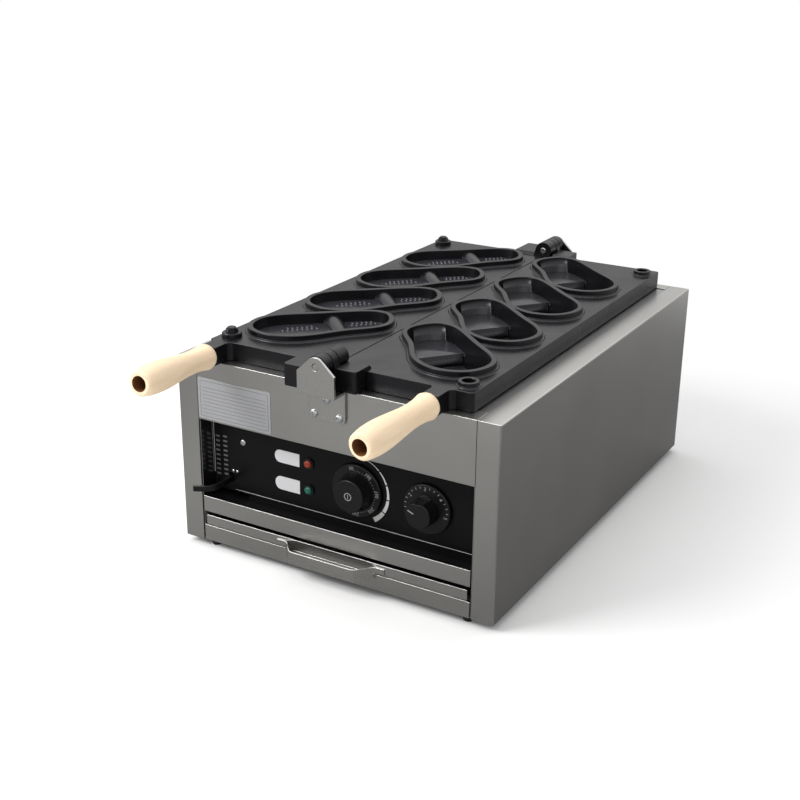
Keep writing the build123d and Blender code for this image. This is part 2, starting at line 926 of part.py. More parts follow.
def tray_handle():
    """Strip bowed forward across the front of the tray, with a flat foot at each end."""
    bow = grip_forward
    inner = grip_half_width - grip_slope
    points = [
        (-grip_half_width - 12, 0),
        (-grip_half_width, 0),
        (-inner, -bow),
        (inner, -bow),
        (grip_half_width, 0),
        (grip_half_width + 12, 0),
    ]
    centre = FilletPolyline(*points, radius=grip_bend)
    strip = offset(centre, grip_strip / 2, side=Side.BOTH)
    outline = make_face(strip)
    plane = Plane((0, front - grip_strip / 2, ground + grip_bottom), x_dir=(1, 0, 0), z_dir=(0, 0, 1))
    bowed = extrude(plane * outline, grip_height)
    feet_low = block(
        -grip_half_width - 20, grip_half_width + 20, front - grip_strip - 1, front + 1,
        ground + grip_bottom - 1, ground + tray_bottom + 1
    )
    return bowed - feet_low


def tray_runner():
    """Angle on the right-hand liner that the tray slides on."""
    top = ground + tray_bottom - tray_lift
    y0 = front + runner_front
    y1 = front + tray_length + 10
    shelf = block(liner_inner - runner_width, liner_inner, y0, y1, top - sheet, top)
    wall = block(liner_inner - sheet, liner_inner, y0, y1, top - sheet, top + runner_height)
    return shelf + wall


# Controls

def knob_bore(x, depth):
    """Blind hole for the shaft in the back of a knob."""
    rear = panel_front - knob_standoff
    return rod_y(x, ground + knob_height, rear - depth, rear + 1, shaft_radius)


def temperature_knob():
    """Round hub on a wide numbered skirt."""
    z = ground + knob_height
    rear = panel_front - knob_standoff
    skirt = rod_y(temperature_x, z, rear - dial_thickness, rear, dial_radius)
    edge = skirt.edges().group_by(Axis.Y)[0]
    skirt = chamfer(edge, 1.2)
    hub_back = rear - dial_thickness + 0.5
    hub = cone_y(temperature_x, z, hub_back - hub_depth, hub_back, hub_front_radius, hub_radius)
    hub_edge = hub.edges().group_by(Axis.Y)[0]
    hub = fillet(hub_edge, 1.5)
    return skirt + hub - knob_bore(temperature_x, shaft_bore_depth)


def timer_knob():
    """Numbered skirt with a hub that is scooped on both sides for the fingers."""
    z = ground + knob_height
    rear = panel_front - knob_standoff
    skirt = rod_y(timer_x, z, rear - dial_thickness, rear, timer_dial_radius)
    edge = skirt.edges().group_by(Axis.Y)[0]
    skirt = chamfer(edge, 1.2)
    face = rear - dial_thickness
    hub = cone_y(
        timer_x, z, face - timer_hub_depth, face + 0.5, timer_hub_front_radius, timer_hub_radius
    )
    hub = fillet(hub.edges().group_by(Axis.Y)[0], 1.2)
    away = timer_hub_radius + timer_scoop_radius - timer_scoop_depth
    for side in (-1, 1):
        hub -= rod_y(timer_x, z + side * away, face - 40, face - 2, timer_scoop_radius)
    return skirt + hub - knob_bore(timer_x, shaft_bore_depth)


def control_shaft(x):
    """Shaft pressed in a knob and running in the bushing of the control behind the panel."""
    rear = panel_front - knob_standoff
    return rod_y(x, ground + knob_height, rear - shaft_bore_depth, panel_back + 12, shaft_radius)


def control_body(x, size, depth):
    """Housing behind the panel with a bushing that comes through it."""
    z = ground + knob_height
    body = block(x - size / 2, x + size / 2, panel_back, panel_back + depth, z - size / 2, z + size / 2)
    body = fillet(body.edges().filter_by(Axis.Y), 3)
    body += rod_y(x, z, panel_front - 0.6, panel_back + 2, body_bushing_radius)
    return body - rod_y(x, z, panel_front - 5, panel_back + 13, shaft_radius + running_clearance)


def lamp_bezels():
    """Black lamp bodies of the two indicator lamps, clipped in the panel."""
    lamps = []
    for height in (lamp_high, lamp_low):
        z = ground + height
        body = rod_y(lamp_x, z, panel_front, panel_back + lamp_length, lamp_radius)
        bezel = rod_y(lamp_x, z, panel_front - lamp_bezel_height, panel_front, lamp_bezel_radius)
        seat = rod_y(lamp_x, z, panel_front - 9, panel_back + 4, lens_radius + running_clearance)
        lamps.append(body + bezel - seat)
    return Compound(lamps)


def lamp_lens(height):
    """Coloured lens with a domed front."""
    z = ground + height
    tip = panel_front - lamp_bezel_height - lens_height
    lens = rod_y(lamp_x, z, tip, panel_back + 4, lens_radius)
    rim = lens.edges().group_by(Axis.Y)[0]
    return fillet(rim, 2.4)


def panel_screw():
    """Pan-head screw with its spacer behind the panel."""
    z = ground + panel_screw_z
    head = rod_y(panel_screw_x, z, panel_front - panel_head_height, panel_front, panel_head_radius)
    head = fillet(head.edges().group_by(Axis.Y)[0], 1.2)
    shank = rod_y(panel_screw_x, z, panel_front - 1, panel_back + panel_spacer + 4, panel_screw_radius)
    nut = hexagon_y(panel_screw_x, z, panel_back, panel_back + panel_spacer, panel_head_radius)
    return head + shank + nut


def lever_outline(grow):
    """Top view of the lever: straight root, then a bend towards the left."""
    half = lever_thickness / 2 + grow
    start = (lever_x, panel_back + lever_root)
    bend = (lever_x, panel_front - lever_reach)
    arc = RadiusArc(
        bend,
        (
            lever_x - lever_bend * (1 - cos(radians(lever_bend_angle))),
            panel_front - lever_reach - lever_bend * sin(radians(lever_bend_angle)),
        ),
        lever_bend,
    )
    root = Line(start, bend)
    tail = Line(arc @ 1, arc @ 1 + (arc % 1) * lever_tail)
    return start, root, arc, tail, half


def power_lever():
    """Flat lever of the main switch, with the hole for its pivot."""
    start, root, arc, tail, half = lever_outline(0)
    path = Wire([root, arc, tail])
    outline = make_face(offset(path, half, side=Side.BOTH))
    low = ground + lever_z - lever_height / 2
    lever = extrude(Pos(0, 0, low) * outline, lever_height)
    edges = lever.edges().group_by(Axis.Z)[-1]
    lever = fillet(edges, 0.8)
    pivot = rod_x(
        lever_pivot_y(), ground + lever_z, lever_x - 10, lever_x + 10,
        lever_pivot_radius + running_clearance
    )
    return lever - pivot


def lever_pivot_y():
    """How far back the lever turns."""
    return panel_back + lever_root - 3.5


def lever_slot(y0, y1):
    """Slot in the panel that the lever swings in."""
    half = lever_thickness / 2 + lever_slot_clearance
    reach = lever_pivot_y() - panel_front
    rise = reach * sin(radians(lever_swing)) + lever_height
    low = ground + lever_z - lever_height / 2 - lever_slot_clearance
    return block(lever_x - half, lever_x + half, y0, y1, low, low + rise + 2)


def switch_body():
    """Switch housing behind the panel, slotted for the lever."""
    low = ground + lever_z - switch_height / 2 + 4
    y0 = panel_back
    body = block(
        lever_x - switch_width / 2, lever_x + switch_width / 2, y0, y0 + switch_depth,
        low, low + switch_height
    )
    half = lever_thickness / 2 + lever_slot_clearance
    reach = lever_pivot_y() - panel_front + 6
    rise = reach * sin(radians(lever_swing)) + lever_height
    slot = block(
        lever_x - half, lever_x + half, y0 - 1, y0 + lever_root + 8,
        ground + lever_z - lever_height - 4, ground + lever_z + rise + 2
    )
    return body - slot


def lever_pivot():
    """Pin across the switch housing."""
    return rod_x(
        lever_pivot_y(), ground + lever_z, lever_x - lever_thickness / 2 - lever_slot_clearance,
        lever_x + lever_thickness / 2 + lever_slot_clearance, lever_pivot_radius
    )


def switch_screws():
    """Two small screws that hold the switch to the panel."""
    screws = []
    z = ground + lever_z + switch_screw_rise
    for side in (0, 1):
        x = lever_x + switch_screw_x / 2 + side * switch_screw_x
        head = rod_y(x, z, panel_front - switch_head_height, panel_front, switch_head_radius)
        shank = rod_y(x, z, panel_front - 0.5, panel_back, switch_screw_radius)
        screws.append(head + shank)
    return Compound(screws)


# Heaters

def heater_z():
    """Height of the heater tubes."""
    return deck_top - heater_drop


def heater_legs_x():
    """Where the long legs of the right-hand heater lie."""
    return [heater_first + step * heater_pitch for step in range(heater_legs)]


def heater_ends():
    """Where the heater ends pass through the partition, on both sides."""
    legs = heater_legs_x()
    return [legs[0], legs[-1], -legs[0], -legs[-1]]


def right_heater():
    """Tubular heater bent back and forth under the right mould."""
    z = heater_z()
    points = []
    y_near = front + heater_front
    y_far = front + heater_back
    y_start = front + heater_start
    legs = heater_legs_x()
    for index, x in enumerate(legs):
        first = y_start if index == 0 else y_near
        last = y_start if index == len(legs) - 1 else y_near
        going_back = index % 2 == 0
        if going_back:
            points += [(x, first, z), (x, y_far, z)]
        else:
            points += [(x, y_far, z), (x, last, z)]
    path = FilletPolyline(*points, radius=heater_turn)
    section = Plane(path @ 0, z_dir=path % 0) * Circle(heater_radius)
    return sweep(section, path=path)


def heater_fittings():
    """Hexagonal fittings that hold the heater ends in the partition."""
    fittings = []
    y0 = front + partition_depth
    for x in heater_ends():
        nut = hexagon_y(x, heater_z(), y0 - fitting_height, y0, fitting_radius)
        bore = rod_y(x, heater_z(), y0 - 20, y0 + 5, heater_radius)
        fittings.append(nut - bore)
    return Compound(fittings)


def heater_supports():
    """Cross bars under the heaters, each with a tab down either liner."""
    bars = []
    half = liner_inner
    top = heater_z() - heater_radius - heater_clearance
    span = heater_back - heater_front
    for step in range(support_count):
        y = front + heater_front + span * (step + 0.5) / support_count
        y0 = y - support_width / 2
        y1 = y + support_width / 2
        bar = block(-half, half, y0, y1, top - support_thickness, top)
        for side in (-1, 1):
            bar += block(
                side * (half - support_thickness), side * half, y0, y1, top - support_tab, top
            )
        bars.append(bar)
    return Compound(bars)


def thermostat_bulb():
    """Sensing bulb between the two heaters, with its capillary from the thermostat."""
    z = heater_z()
    bulb_front = front + heater_front + 60
    bulb = rod_y(0, z, bulb_front, bulb_front + bulb_length, bulb_radius)
    x = temperature_x
    y_body = panel_back + thermostat_depth
    z_body = ground + knob_height
    points = [
        (x, y_body, z_body),
        (x, y_body + 14, z_body),
        (x, y_body + 14, z - 20),
        (0, y_body + 14, z),
        (0, bulb_front + 5, z),
    ]
    path = FilletPolyline(*points, radius=capillary_bend)
    section = Plane(path @ 0, z_dir=path % 0) * Circle(capillary_radius)
    return bulb + sweep(section, path=path, transition=Transition.ROUND)


# Mains connection

def cable_gland():
    """Gland in the rear panel that the mains lead would enter by."""
    z = ground + gland_z
    thread = rod_y(gland_x, z, back - sheet - 8, back + 1, gland_radius)
    nut = hexagon_y(gland_x, z, back, back + gland_reach / 2, gland_nut_radius)
    dome = cone_y(
        gland_x, z, back + gland_reach / 2, back + gland_reach, gland_nut_radius - 2, gland_radius - 1.5
    )
    inner_nut = hexagon_y(gland_x, z, back - sheet - 4, back - sheet, gland_nut_radius)
    bore = rod_y(gland_x, z, back - 30, back + 30, gland_bore)
    return thread + nut + dome + inner_nut - bore


def terminal_block():
    """Screw terminals on the front of the partition."""
    y1 = front + partition_depth
    z0 = ground + terminal_z
    block_body = block(
        terminal_x, terminal_x + terminal_width, y1 - terminal_depth, y1, z0, z0 + terminal_height
    )
    ways = 4
    for step in range(ways):
        x = terminal_x + terminal_width * (step + 0.5) / ways
        block_body -= rod_z(x, y1 - terminal_depth / 2, z0 - 1, z0 + terminal_height + 1, terminal_bore)
        block_body -= rod_y(x, z0 + terminal_height / 2, y1 - terminal_depth - 1, y1 - 6, terminal_bore)
    return block_body


def write(name, solid):
    """Save one piece under its own name."""
    solid.label = name
    export_step(solid, f"parts/{name}.step")


def main():
    side = right_side_panel()
    liner = right_liner()
    runner = tray_runner()
    heater = right_heater()
    bracket = front_hinge_bracket()
    pin = front_hinge_pin()
    screws = bracket_screws()
    write("right_side_panel", side)
    write("left_side_panel", mirror_x(side))
    write("right_liner", liner)
    write("left_liner", mirror_x(liner))
    write("deck", deck())
    write("front_apron", front_apron())
    write("lower_fascia", lower_fascia())
    write("control_shelf", control_shelf())
    write("control_panel", control_panel())
    write("bottom_rail", bottom_rail())
    write("base_plate", base_plate())
    write("rear_panel", rear_panel())
    write("partition", partition())
    write("rubber_feet", rubber_feet())
    write("foot_screws", foot_screws())
    write("left_mould", left_mould())
    write("right_mould", right_mould())
    write("locating_pins", locating_pins())
    left_lugs = hinge_lugs(lug_width_left, knuckle_front)
    write("left_hinge_lugs", Compound([mirror_x(lug) for lug in left_lugs]))
    write("right_hinge_lugs", Compound(hinge_lugs(lug_width_right, knuckle_span(1)[0])))
    write("left_knuckles", Compound([mirror_x(barrel) for barrel in knuckles((0, 2))]))
    write("right_knuckles", Compound(knuckles((1,))))
    write("front_hinge_bracket", bracket)
    write("rear_hinge_bracket", mirror_ends(bracket))
    write("front_hinge_pin", pin)
    write("rear_hinge_pin", mirror_ends(pin))
    write("bracket_screws", Compound(screws + [mirror_ends(screw) for screw in screws]))
    for name, make in (
        ("handle", wooden_handle), ("handle_rod", handle_rod), ("handle_nut", handle_nut),
        ("handle_collar", handle_collar)
    ):
        write(f"left_{name}", mirror_x(make(left_arm_x, left_handle_rise)))
        write(f"right_{name}", make(right_arm_x, right_handle_rise))
    write("crumb_tray", crumb_tray())
    write("tray_handle", tray_handle())
    write("tray_runners", Compound([runner, mirror_x(runner)]))
    write("temperature_knob", temperature_knob())
    write("timer_knob", timer_knob())
    write("temperature_shaft", control_shaft(temperature_x))
    write("timer_shaft", control_shaft(timer_x))
    write("thermostat", control_body(temperature_x, thermostat_size, thermostat_depth))
    write("timer", control_body(timer_x, timer_size, timer_depth))
    write("thermostat_bulb", thermostat_bulb())
    write("lamp_bezels", lamp_bezels())
    write("work_lamp_lens", lamp_lens(lamp_high))
    write("power_lamp_lens", lamp_lens(lamp_low))
    write("panel_screw", panel_screw())
    write("power_lever", power_lever())
    write("lever_pivot", lever_pivot())
    write("switch_body", switch_body())
    write("switch_screws", switch_screws())
    write("right_heater", heater)
    write("left_heater", mirror_x(heater))
    write("heater_fittings", heater_fittings())
    write("heater_supports", heater_supports())
    write("cable_gland", cable_gland())
    write("terminal_block", terminal_block())


main()
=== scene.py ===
from math import cos, pi, radians, sin
from typing import Callable, NamedTuple, Optional

import bmesh
import bpy
from bpy.props import FloatProperty, FloatVectorProperty, PointerProperty
from bpy.types import Operator, Panel, PropertyGroup
from mathutils import Matrix, Vector
from mathutils.kdtree import KDTree


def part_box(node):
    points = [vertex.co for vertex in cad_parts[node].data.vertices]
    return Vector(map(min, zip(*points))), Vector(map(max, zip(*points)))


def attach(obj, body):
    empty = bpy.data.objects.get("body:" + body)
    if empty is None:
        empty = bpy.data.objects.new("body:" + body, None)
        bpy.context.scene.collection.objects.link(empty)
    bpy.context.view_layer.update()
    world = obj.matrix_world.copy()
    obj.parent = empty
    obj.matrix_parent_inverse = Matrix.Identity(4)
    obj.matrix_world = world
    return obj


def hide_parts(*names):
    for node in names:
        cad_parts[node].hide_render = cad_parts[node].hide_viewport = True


bl_info = {
    "name": "Shoe waffle maker",
    "version": (1, 0, 0),
    "blender": (4, 5, 0),
    "location": "3D View > Sidebar > Waffle maker",
    "description": "Finishes and fine pieces of a countertop maker of shoe-shaped waffles",
    "category": "Object",
}

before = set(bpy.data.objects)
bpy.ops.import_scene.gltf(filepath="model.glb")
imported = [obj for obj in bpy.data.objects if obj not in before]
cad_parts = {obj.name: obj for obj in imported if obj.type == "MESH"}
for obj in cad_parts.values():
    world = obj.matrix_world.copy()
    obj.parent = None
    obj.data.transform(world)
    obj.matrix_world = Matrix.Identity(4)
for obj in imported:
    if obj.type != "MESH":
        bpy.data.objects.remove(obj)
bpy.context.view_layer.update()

MM = 0.001


def mm(*values):
    """Millimetres as metres."""
    return tuple(value * MM for value in values)


# Places on the frame, in metres
APRON_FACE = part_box("front_apron")[0].y
PANEL_LOW, PANEL_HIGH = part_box("control_panel")
PANEL_FACE = PANEL_LOW.y
HINGES_MIDDLE = 53.5 * MM
MOULD_FRONT = -210.0 * MM
UNDERSIDE, DEEP_FLOOR, SHALLOW_FLOOR, PLATE_TOP, RIM_TOP = mm(236.9, 239.9, 246.9, 251.4, 258.9)

# Edges sharper than SHARP are rounded, and shading breaks at CREASE. Faces within FLAT of one
# plane are joined. Heights within CLOSE are the same, and points within WELD are one.
SHARP, CREASE, FLAT = radians(28), radians(35), radians(0.5)
CLOSE, WELD = mm(0.05, 0.002)


def linear(code):
    """An sRGB hex colour as linear RGB."""
    values = []
    for start in (0, 2, 4):
        part = int(code[start:start + 2], 16) / 255
        values.append(part / 12.92 if part <= 0.04045 else ((part + 0.055) / 1.055) ** 2.4)
    return tuple(values)


def colour(name, description, code):
    """A colour setting with its default as a hex value."""
    return FloatVectorProperty(
        name=name, description=description, subtype="COLOR", size=3, min=0, max=1,
        default=linear(code),
    )


def length(name, description, millimetres):
    """A length setting with its default in millimetres."""
    return FloatProperty(
        name=name, description=description, unit="LENGTH", min=0, precision=5,
        default=millimetres * MM,
    )


class WaffleMakerSizes(PropertyGroup):
    casting_edge: length("Casting edge", "Rounding of the edges of the cast moulds", 0.7)
    rim_edge: length("Rim edge", "Rounding of the tops of the rims round the cavities", 0.75)
    sheet_edge: length("Sheet edge", "Rounding of the deburred edges of the steel sheet", 0.45)
    strip_edge: length("Strip edge", "Rounding of the edges of the steel strips", 0.3)
    moulded_edge: length("Moulded edge", "Rounding of the edges of moulded plastic", 0.3)
    print_height: length("Print height", "How far printed marks stand proud", 0.05)
    digit_height: length("Digit height", "Height of the numbers on the dials", 4.0)
    type_plate_thickness: length("Type plate", "Thickness of the plate on the apron", 0.4)
    label_thickness: length("Lamp labels", "Thickness of the labels beside the lamps", 0.35)
    tread_height: length("Tread marks", "Height of the ridges in the shallow cavities", 0.9)


class WaffleMakerColours(PropertyGroup):
    steel: colour("Stainless steel", "Brushed stainless sheet", "B2B1AE")
    inner_steel: colour("Inner steel", "Mill finish sheet inside the cabinet", "9C9C9C")
    casting: colour("Casting", "Non-stick coating of the moulds", "0E0E10")
    floor_sheen: colour("Floor sheen", "Coating of the cavity floors, lighter as painted sheen", "28282C")
    ridge_glints: colour("Ridge glints", "Ridges of the tread, lighter as painted glints", "77777C")
    beech: colour("Beech", "Bare turned beech", "F4DCBC")
    bore: colour("Bore", "Beech inside the bores of the handles, darkened as painted shade", "7A4E2C")
    beech_grain: colour("Beech grain", "Darker grain of the beech", "E0C096")
    panel: colour("Control panel", "Painted control panel", "09090B")
    knob: colour("Knobs", "Moulded black knobs", "0C0C0E")
    rubber: colour("Rubber", "Feet", "1A1A1A")
    ink: colour("Ink", "White print on the panel", "B4B4B2")
    dial_ink: colour("Dial ink", "Rubbed white print on the dials", "8A8A88")
    faint_ink: colour("Faint ink", "Thin grey print on black", "5E5E60")
    film: colour("Label film", "Labels beside the lamps", "C4C4C6")
    type_plate: colour("Type plate", "Silver film of the type plate", "9C9D9F")
    ruling: colour("Ruling", "Thin lines on the type plate", "4E4E54")
    orange_lens: colour("Orange lens", "Lens of the upper lamp", "7E2A14")
    green_lens: colour("Green lens", "Lens of the lower lamp", "165446")
    zinc: colour("Zinc", "Plated screws and nuts", "C8C9CB")
    pin: colour("Turned steel", "Axles, rods and shafts", "A4A5A7")
    sheath: colour("Heater sheath", "Heat-tinted heater tube", "5A5652")
    brass: colour("Brass", "Fittings of the heaters", "C8A860")
    phenolic: colour("Phenolic", "Bodies of the controls", "262628")
    steatite: colour("Steatite", "Terminal block", "E4E0D6")
    floor: colour("Floor", "Studio floor", "F2F2F2")


def settings(context):
    """The sizes and the colours that the operators use."""
    return context.scene.waffle_sizes, context.scene.waffle_colours


# Materials

# Nearly all values of a noise texture lie between these.
LOW, HIGH = 0.3, 0.7
NOISE_RANGE = {"From Min": LOW, "From Max": HIGH}


def rgba(value):
    return (*value, 1.0)


def scaled(tone, share):
    """A colour made darker or lighter."""
    return [min(1, part * share) for part in tone]


def add(tree, kind, inputs=None, stops=(), **fields):
    """Add one shader node with its settings, a ramp's stops, and each input linked or set.

    A node given as an input stands for its first output.
    """
    made = tree.nodes.new("ShaderNode" + kind)
    for name, value in fields.items():
        setattr(made, name, value)
    if stops:
        elements = made.color_ramp.elements
        while len(elements) < len(stops):
            elements.new(0.5)
        for element, (position, shade) in zip(elements, stops):
            element.position = position
            element.color = rgba(shade)
    for name, value in (inputs or {}).items():
        socket = made.inputs[name]
        if isinstance(value, bpy.types.Node):
            value = value.outputs[0]
        if isinstance(value, bpy.types.NodeSocket):
            tree.links.new(value, socket)
        else:
            socket.default_value = value
    return made


def blank(name):
    """An empty material, its node tree and its Object coordinates."""
    made = bpy.data.materials.get(name) or bpy.data.materials.new(name)
    made.use_nodes = True
    made.node_tree.nodes.clear()
    place = add(made.node_tree, "TexCoord")
    return made, made.node_tree, place.outputs["Object"]


def close(tree, inputs):
    """The surface shader and the material's output."""
    add(tree, "OutputMaterial", {"Surface": add(tree, "BsdfPrincipled", inputs)})


def uneven(tree, gloss, low, high, relief, strength, depth):
    """Roughness from low to high by one pattern, and a bump in millimetres by another."""
    return {
        "Roughness": add(tree, "MapRange", {
            "Value": gloss, **NOISE_RANGE, "To Min": low, "To Max": high,
        }),
        "Normal": add(tree, "Bump", {
            "Height": relief, "Strength": strength, "Distance": depth * MM,
        }),
    }


def brushed_steel(name, tone, roughness, along):
    """Stainless sheet 1.4301, brushed with a belt: fine straight lines that blur reflections."""
    made, tree, place = blank(name)
    # Brush lines are about 0.1 mm wide and 60 mm long. They are drawn wider, so that they show.
    line_width, line_length = mm(1.2, 60)
    scale = [1 / line_width] * 3
    scale["xyz".index(along)] = 1 / line_length
    stretch = add(tree, "Mapping", {"Vector": place, "Scale": scale})
    lines = add(tree, "TexNoise", {
        "Vector": stretch, "Scale": 1.0, "Detail": 3.0, "Roughness": 0.6,
    })
    # Handling and rolling leave soft patches about 120 mm wide.
    patches = add(tree, "TexNoise", {"Vector": place, "Scale": 1 / (120 * MM)})
    shade = add(tree, "ValToRGB", {"Fac": patches}, (
        (LOW, scaled(tone, 0.94)), (HIGH, scaled(tone, 1.04)),
    ))
    close(tree, {
        "Base Color": shade, "Metallic": 1.0,
        **uneven(tree, lines, roughness - 0.02, roughness + 0.03, lines, 0.04, 0.05),
    })
    return made


def front_sheet(tone):
    """Sheet of the cabinet's front and of the tray, brushed across."""
    return brushed_steel("Brushed stainless sheet, front", tone, 0.3, "x")


def steel_strip(tone):
    """Cut strip of the brackets and of the tray's handle, a little glossier than the sheet."""
    return brushed_steel("Brushed stainless strip", tone, 0.28, "x")


def cast_coating(name, tone, gloss):
    """Cast aluminium in a baked fluoropolymer coat: black, satin, with a sheen at low angles."""
    made, tree, place = blank(name)
    # The grain of the blasted casting is about 0.4 mm. It is drawn 1 mm wide, so that it shows.
    grain = add(tree, "TexNoise", {"Vector": place, "Scale": 1 / (1.0 * MM)})
    # Baked-on oil leaves glossier patches 40 mm wide.
    patches = add(tree, "TexNoise", {
        "Vector": place, "Scale": 1 / (40 * MM), "Detail": 4.0, "Roughness": 0.6,
    })
    close(tree, {
        "Base Color": rgba(tone), "IOR": 1.36, "Specular Tint": (0.97, 0.94, 1.0, 1.0),
        **uneven(tree, patches, gloss - 0.06, gloss + 0.07, grain, 0.25, 0.06),
    })
    return made


def turned_beech(name, tone, grain_tone):
    """Steamed beech, turned and sanded, without varnish: pale, with short fine flecks along it."""
    made, tree, place = blank(name)
    # Growth rings show as bands 5 mm wide that run along the grip.
    band_width, band_length = mm(5, 70)
    bands = add(tree, "Mapping", {
        "Vector": place, "Scale": (1 / band_width, 1 / band_length, 1 / band_width),
    })
    rings = add(tree, "TexNoise", {"Vector": bands, "Scale": 1.0, "Distortion": 0.4})
    # Ray flecks are 0.3 mm wide and 4 mm long. They are drawn wider, so that they show.
    fleck_width, fleck_length = mm(0.7, 4)
    short = add(tree, "Mapping", {
        "Vector": place, "Scale": (1 / fleck_width, 1 / fleck_length, 1 / fleck_width),
    })
    flecks = add(tree, "TexNoise", {"Vector": short, "Scale": 1.0, "Detail": 1.0})
    shade = add(tree, "ValToRGB", {"Fac": rings}, (
        (0.3, tone), (0.75, [a * 0.6 + b * 0.4 for a, b in zip(tone, grain_tone)]),
    ))
    # Only the peaks of the noise are flecks, and they are half as dark as the grain.
    share = add(tree, "ValToRGB", {"Fac": flecks}, (
        (0.62, (0, 0, 0)), (0.72, (0.5, 0.5, 0.5)),
    ))
    wood = add(tree, "Mix", {0: share, 6: shade, 7: rgba(grain_tone)}, data_type="RGBA")
    close(tree, {"Base Color": wood.outputs[2], "Roughness": 0.55, "IOR": 1.5})
    return made


def galvanised_sheet(tone):
    """Hot-dip galvanised steel: dull grey zinc in spangles that differ a little in tone."""
    made, tree, place = blank("Galvanised sheet")
    # Spangles are about 8 mm across.
    spangle = add(tree, "TexVoronoi", {"Vector": place, "Scale": 1 / (8 * MM)})
    grey = add(tree, "RGBToBW", {"Color": spangle.outputs["Color"]})
    shade = add(tree, "ValToRGB", {"Fac": grey}, (
        (0, scaled(tone, 0.85)), (1, scaled(tone, 1.12)),
    ))
    close(tree, {"Base Color": shade, "Metallic": 1.0, "Roughness": 0.48})
    return made


def grained(name, tone, roughness, grain, depth, **extra):
    """A finish of one tone whose gloss and surface vary with a fine grain.

    The grain's width and depth are in millimetres.
    """
    made, tree, place = blank(name)
    grains = add(tree, "TexNoise", {"Vector": place, "Scale": 1 / (grain * MM)})
    shade = add(tree, "ValToRGB", {"Fac": grains}, (
        (LOW, scaled(tone, 0.93)), (HIGH, scaled(tone, 1.05)),
    ))
    close(tree, {
        "Base Color": shade,
        **uneven(tree, grains, roughness * 0.85, roughness * 1.15, grains, 0.3, depth),
        **{key.replace("_", " "): value for key, value in extra.items()},
    })
    return made


def turned_steel(tone):
    """Turned carbon steel: bright, with the fine marks of the tool."""
    return grained("Turned steel", tone, 0.3, 0.6, 0.01, Metallic=1.0)


def zinc_plate(tone):
    """Zinc-plated steel: a bright thin coat, slightly cloudy."""
    return grained("Zinc-plated steel", tone, 0.24, 1.5, 0.01, Metallic=1.0)


def powder_coat(tone):
    """Powder-coated steel: black, with a faint orange peel about 1.5 mm wide."""
    return grained("Black powder coat", tone, 0.34, 1.5, 0.02, Specular_IOR_Level=0.16)


def moulded_black(tone):
    """Moulded phenolic: black and satin, with the grain of the polished mould."""
    return grained("Moulded black phenolic", tone, 0.34, 0.5, 0.01, Specular_IOR_Level=0.3)


def print_ink(name, tone):
    """Screen-printed ink: matt, a little uneven where the mesh left it."""
    return grained(name, tone, 0.5, 0.6, 0.01)


def label_film(name, tone, metallic):
    """Printed polyester film: flat, satin, with a very fine grain."""
    return grained(name, tone, 0.42, 0.8, 0.005, Metallic=metallic)


def lamp_lens(name, tone):
    """Tinted polycarbonate: glossy, and lit through a little from behind."""
    return grained(
        name, tone, 0.12, 2.0, 0.01, Emission_Color=rgba(tone), Emission_Strength=0.12
    )


# Pieces

def shown(name, data):
    """A new object in the scene."""
    made = bpy.data.objects.new(name, data)
    bpy.context.scene.collection.objects.link(made)
    return made


def as_mesh(name, shape):
    """A bmesh as a mesh. The bmesh is freed."""
    mesh = bpy.data.meshes.new(name)
    shape.to_mesh(mesh)
    shape.free()
    return mesh


def piece(name, body, finish, shape, flat_faces=False, stands_for=None):
    """Turn a bmesh into a finished piece on a body. It may stand for a CAD node."""
    mesh = as_mesh(name, shape)
    mesh.materials.append(finish)
    mesh.shade_smooth()
    mesh.set_sharp_from_angle(angle=CREASE)
    made = shown(name, mesh)
    if flat_faces:
        weighted = made.modifiers.new("flat faces", "WEIGHTED_NORMAL")
        weighted.keep_sharp = True
    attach(made, body)
    if stands_for:
        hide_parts(stands_for)
    return made


def welded(node):
    """A merged copy of a CAD node's mesh, with the faces that lie in one plane joined."""
    shape = bmesh.new()
    shape.from_mesh(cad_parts[node].data)
    bmesh.ops.remove_doubles(shape, verts=shape.verts, dist=WELD)
    bmesh.ops.dissolve_limit(
        shape, angle_limit=FLAT, verts=shape.verts, edges=shape.edges, delimit=set()
    )
    return shape


def apart(edges, width):
    """The edges that aren't so close across a thin web that their roundings would meet."""
    near = 2.2 * width
    alongside = cos(radians(45))
    middles = [(edge.verts[0].co + edge.verts[1].co) / 2 for edge in edges]
    tree = KDTree(len(edges))
    for index, middle in enumerate(middles):
        tree.insert(middle, index)
    tree.balance()

    def meets(edge, other, across):
        """Whether two edges run side by side on one flat face."""
        along = (edge.verts[1].co - edge.verts[0].co).normalized()
        return (
            not set(edge.verts) & set(other.verts)
            and set(edge.link_faces) & set(other.link_faces)
            and abs(along.dot(across.normalized())) < alongside
        )

    return [
        edge for edge, middle in zip(edges, middles)
        if not any(
            meets(edge, edges[index], place - middle)
            for place, index, distance in tree.find_range(middle, near) if distance > 0
        )
    ]


def bevel(shape, geom, width, segments, affect="EDGES", clamp=True):
    bmesh.ops.bevel(
        shape, geom=geom, offset=width, offset_type="OFFSET", segments=segments, profile=0.5,
        affect=affect, clamp_overlap=clamp, material=-1,
    )


class Rounding(NamedTuple):
    """How sharp edges are rounded: which ones a test picks, and whether thin webs stay sharp."""
    width: float
    segments: int = 2
    where: Optional[Callable] = None
    spaced: bool = False


def round_edges(shape, how):
    """Round the sharp edges of a solid."""
    edges = [
        edge for edge in shape.edges
        if len(edge.link_faces) == 2 and edge.calc_face_angle() > SHARP
        and (how.where is None or how.where(edge))
    ]
    if how.spaced:
        edges = apart(edges, how.width)
    bevel(shape, edges, how.width, how.segments, clamp=False)


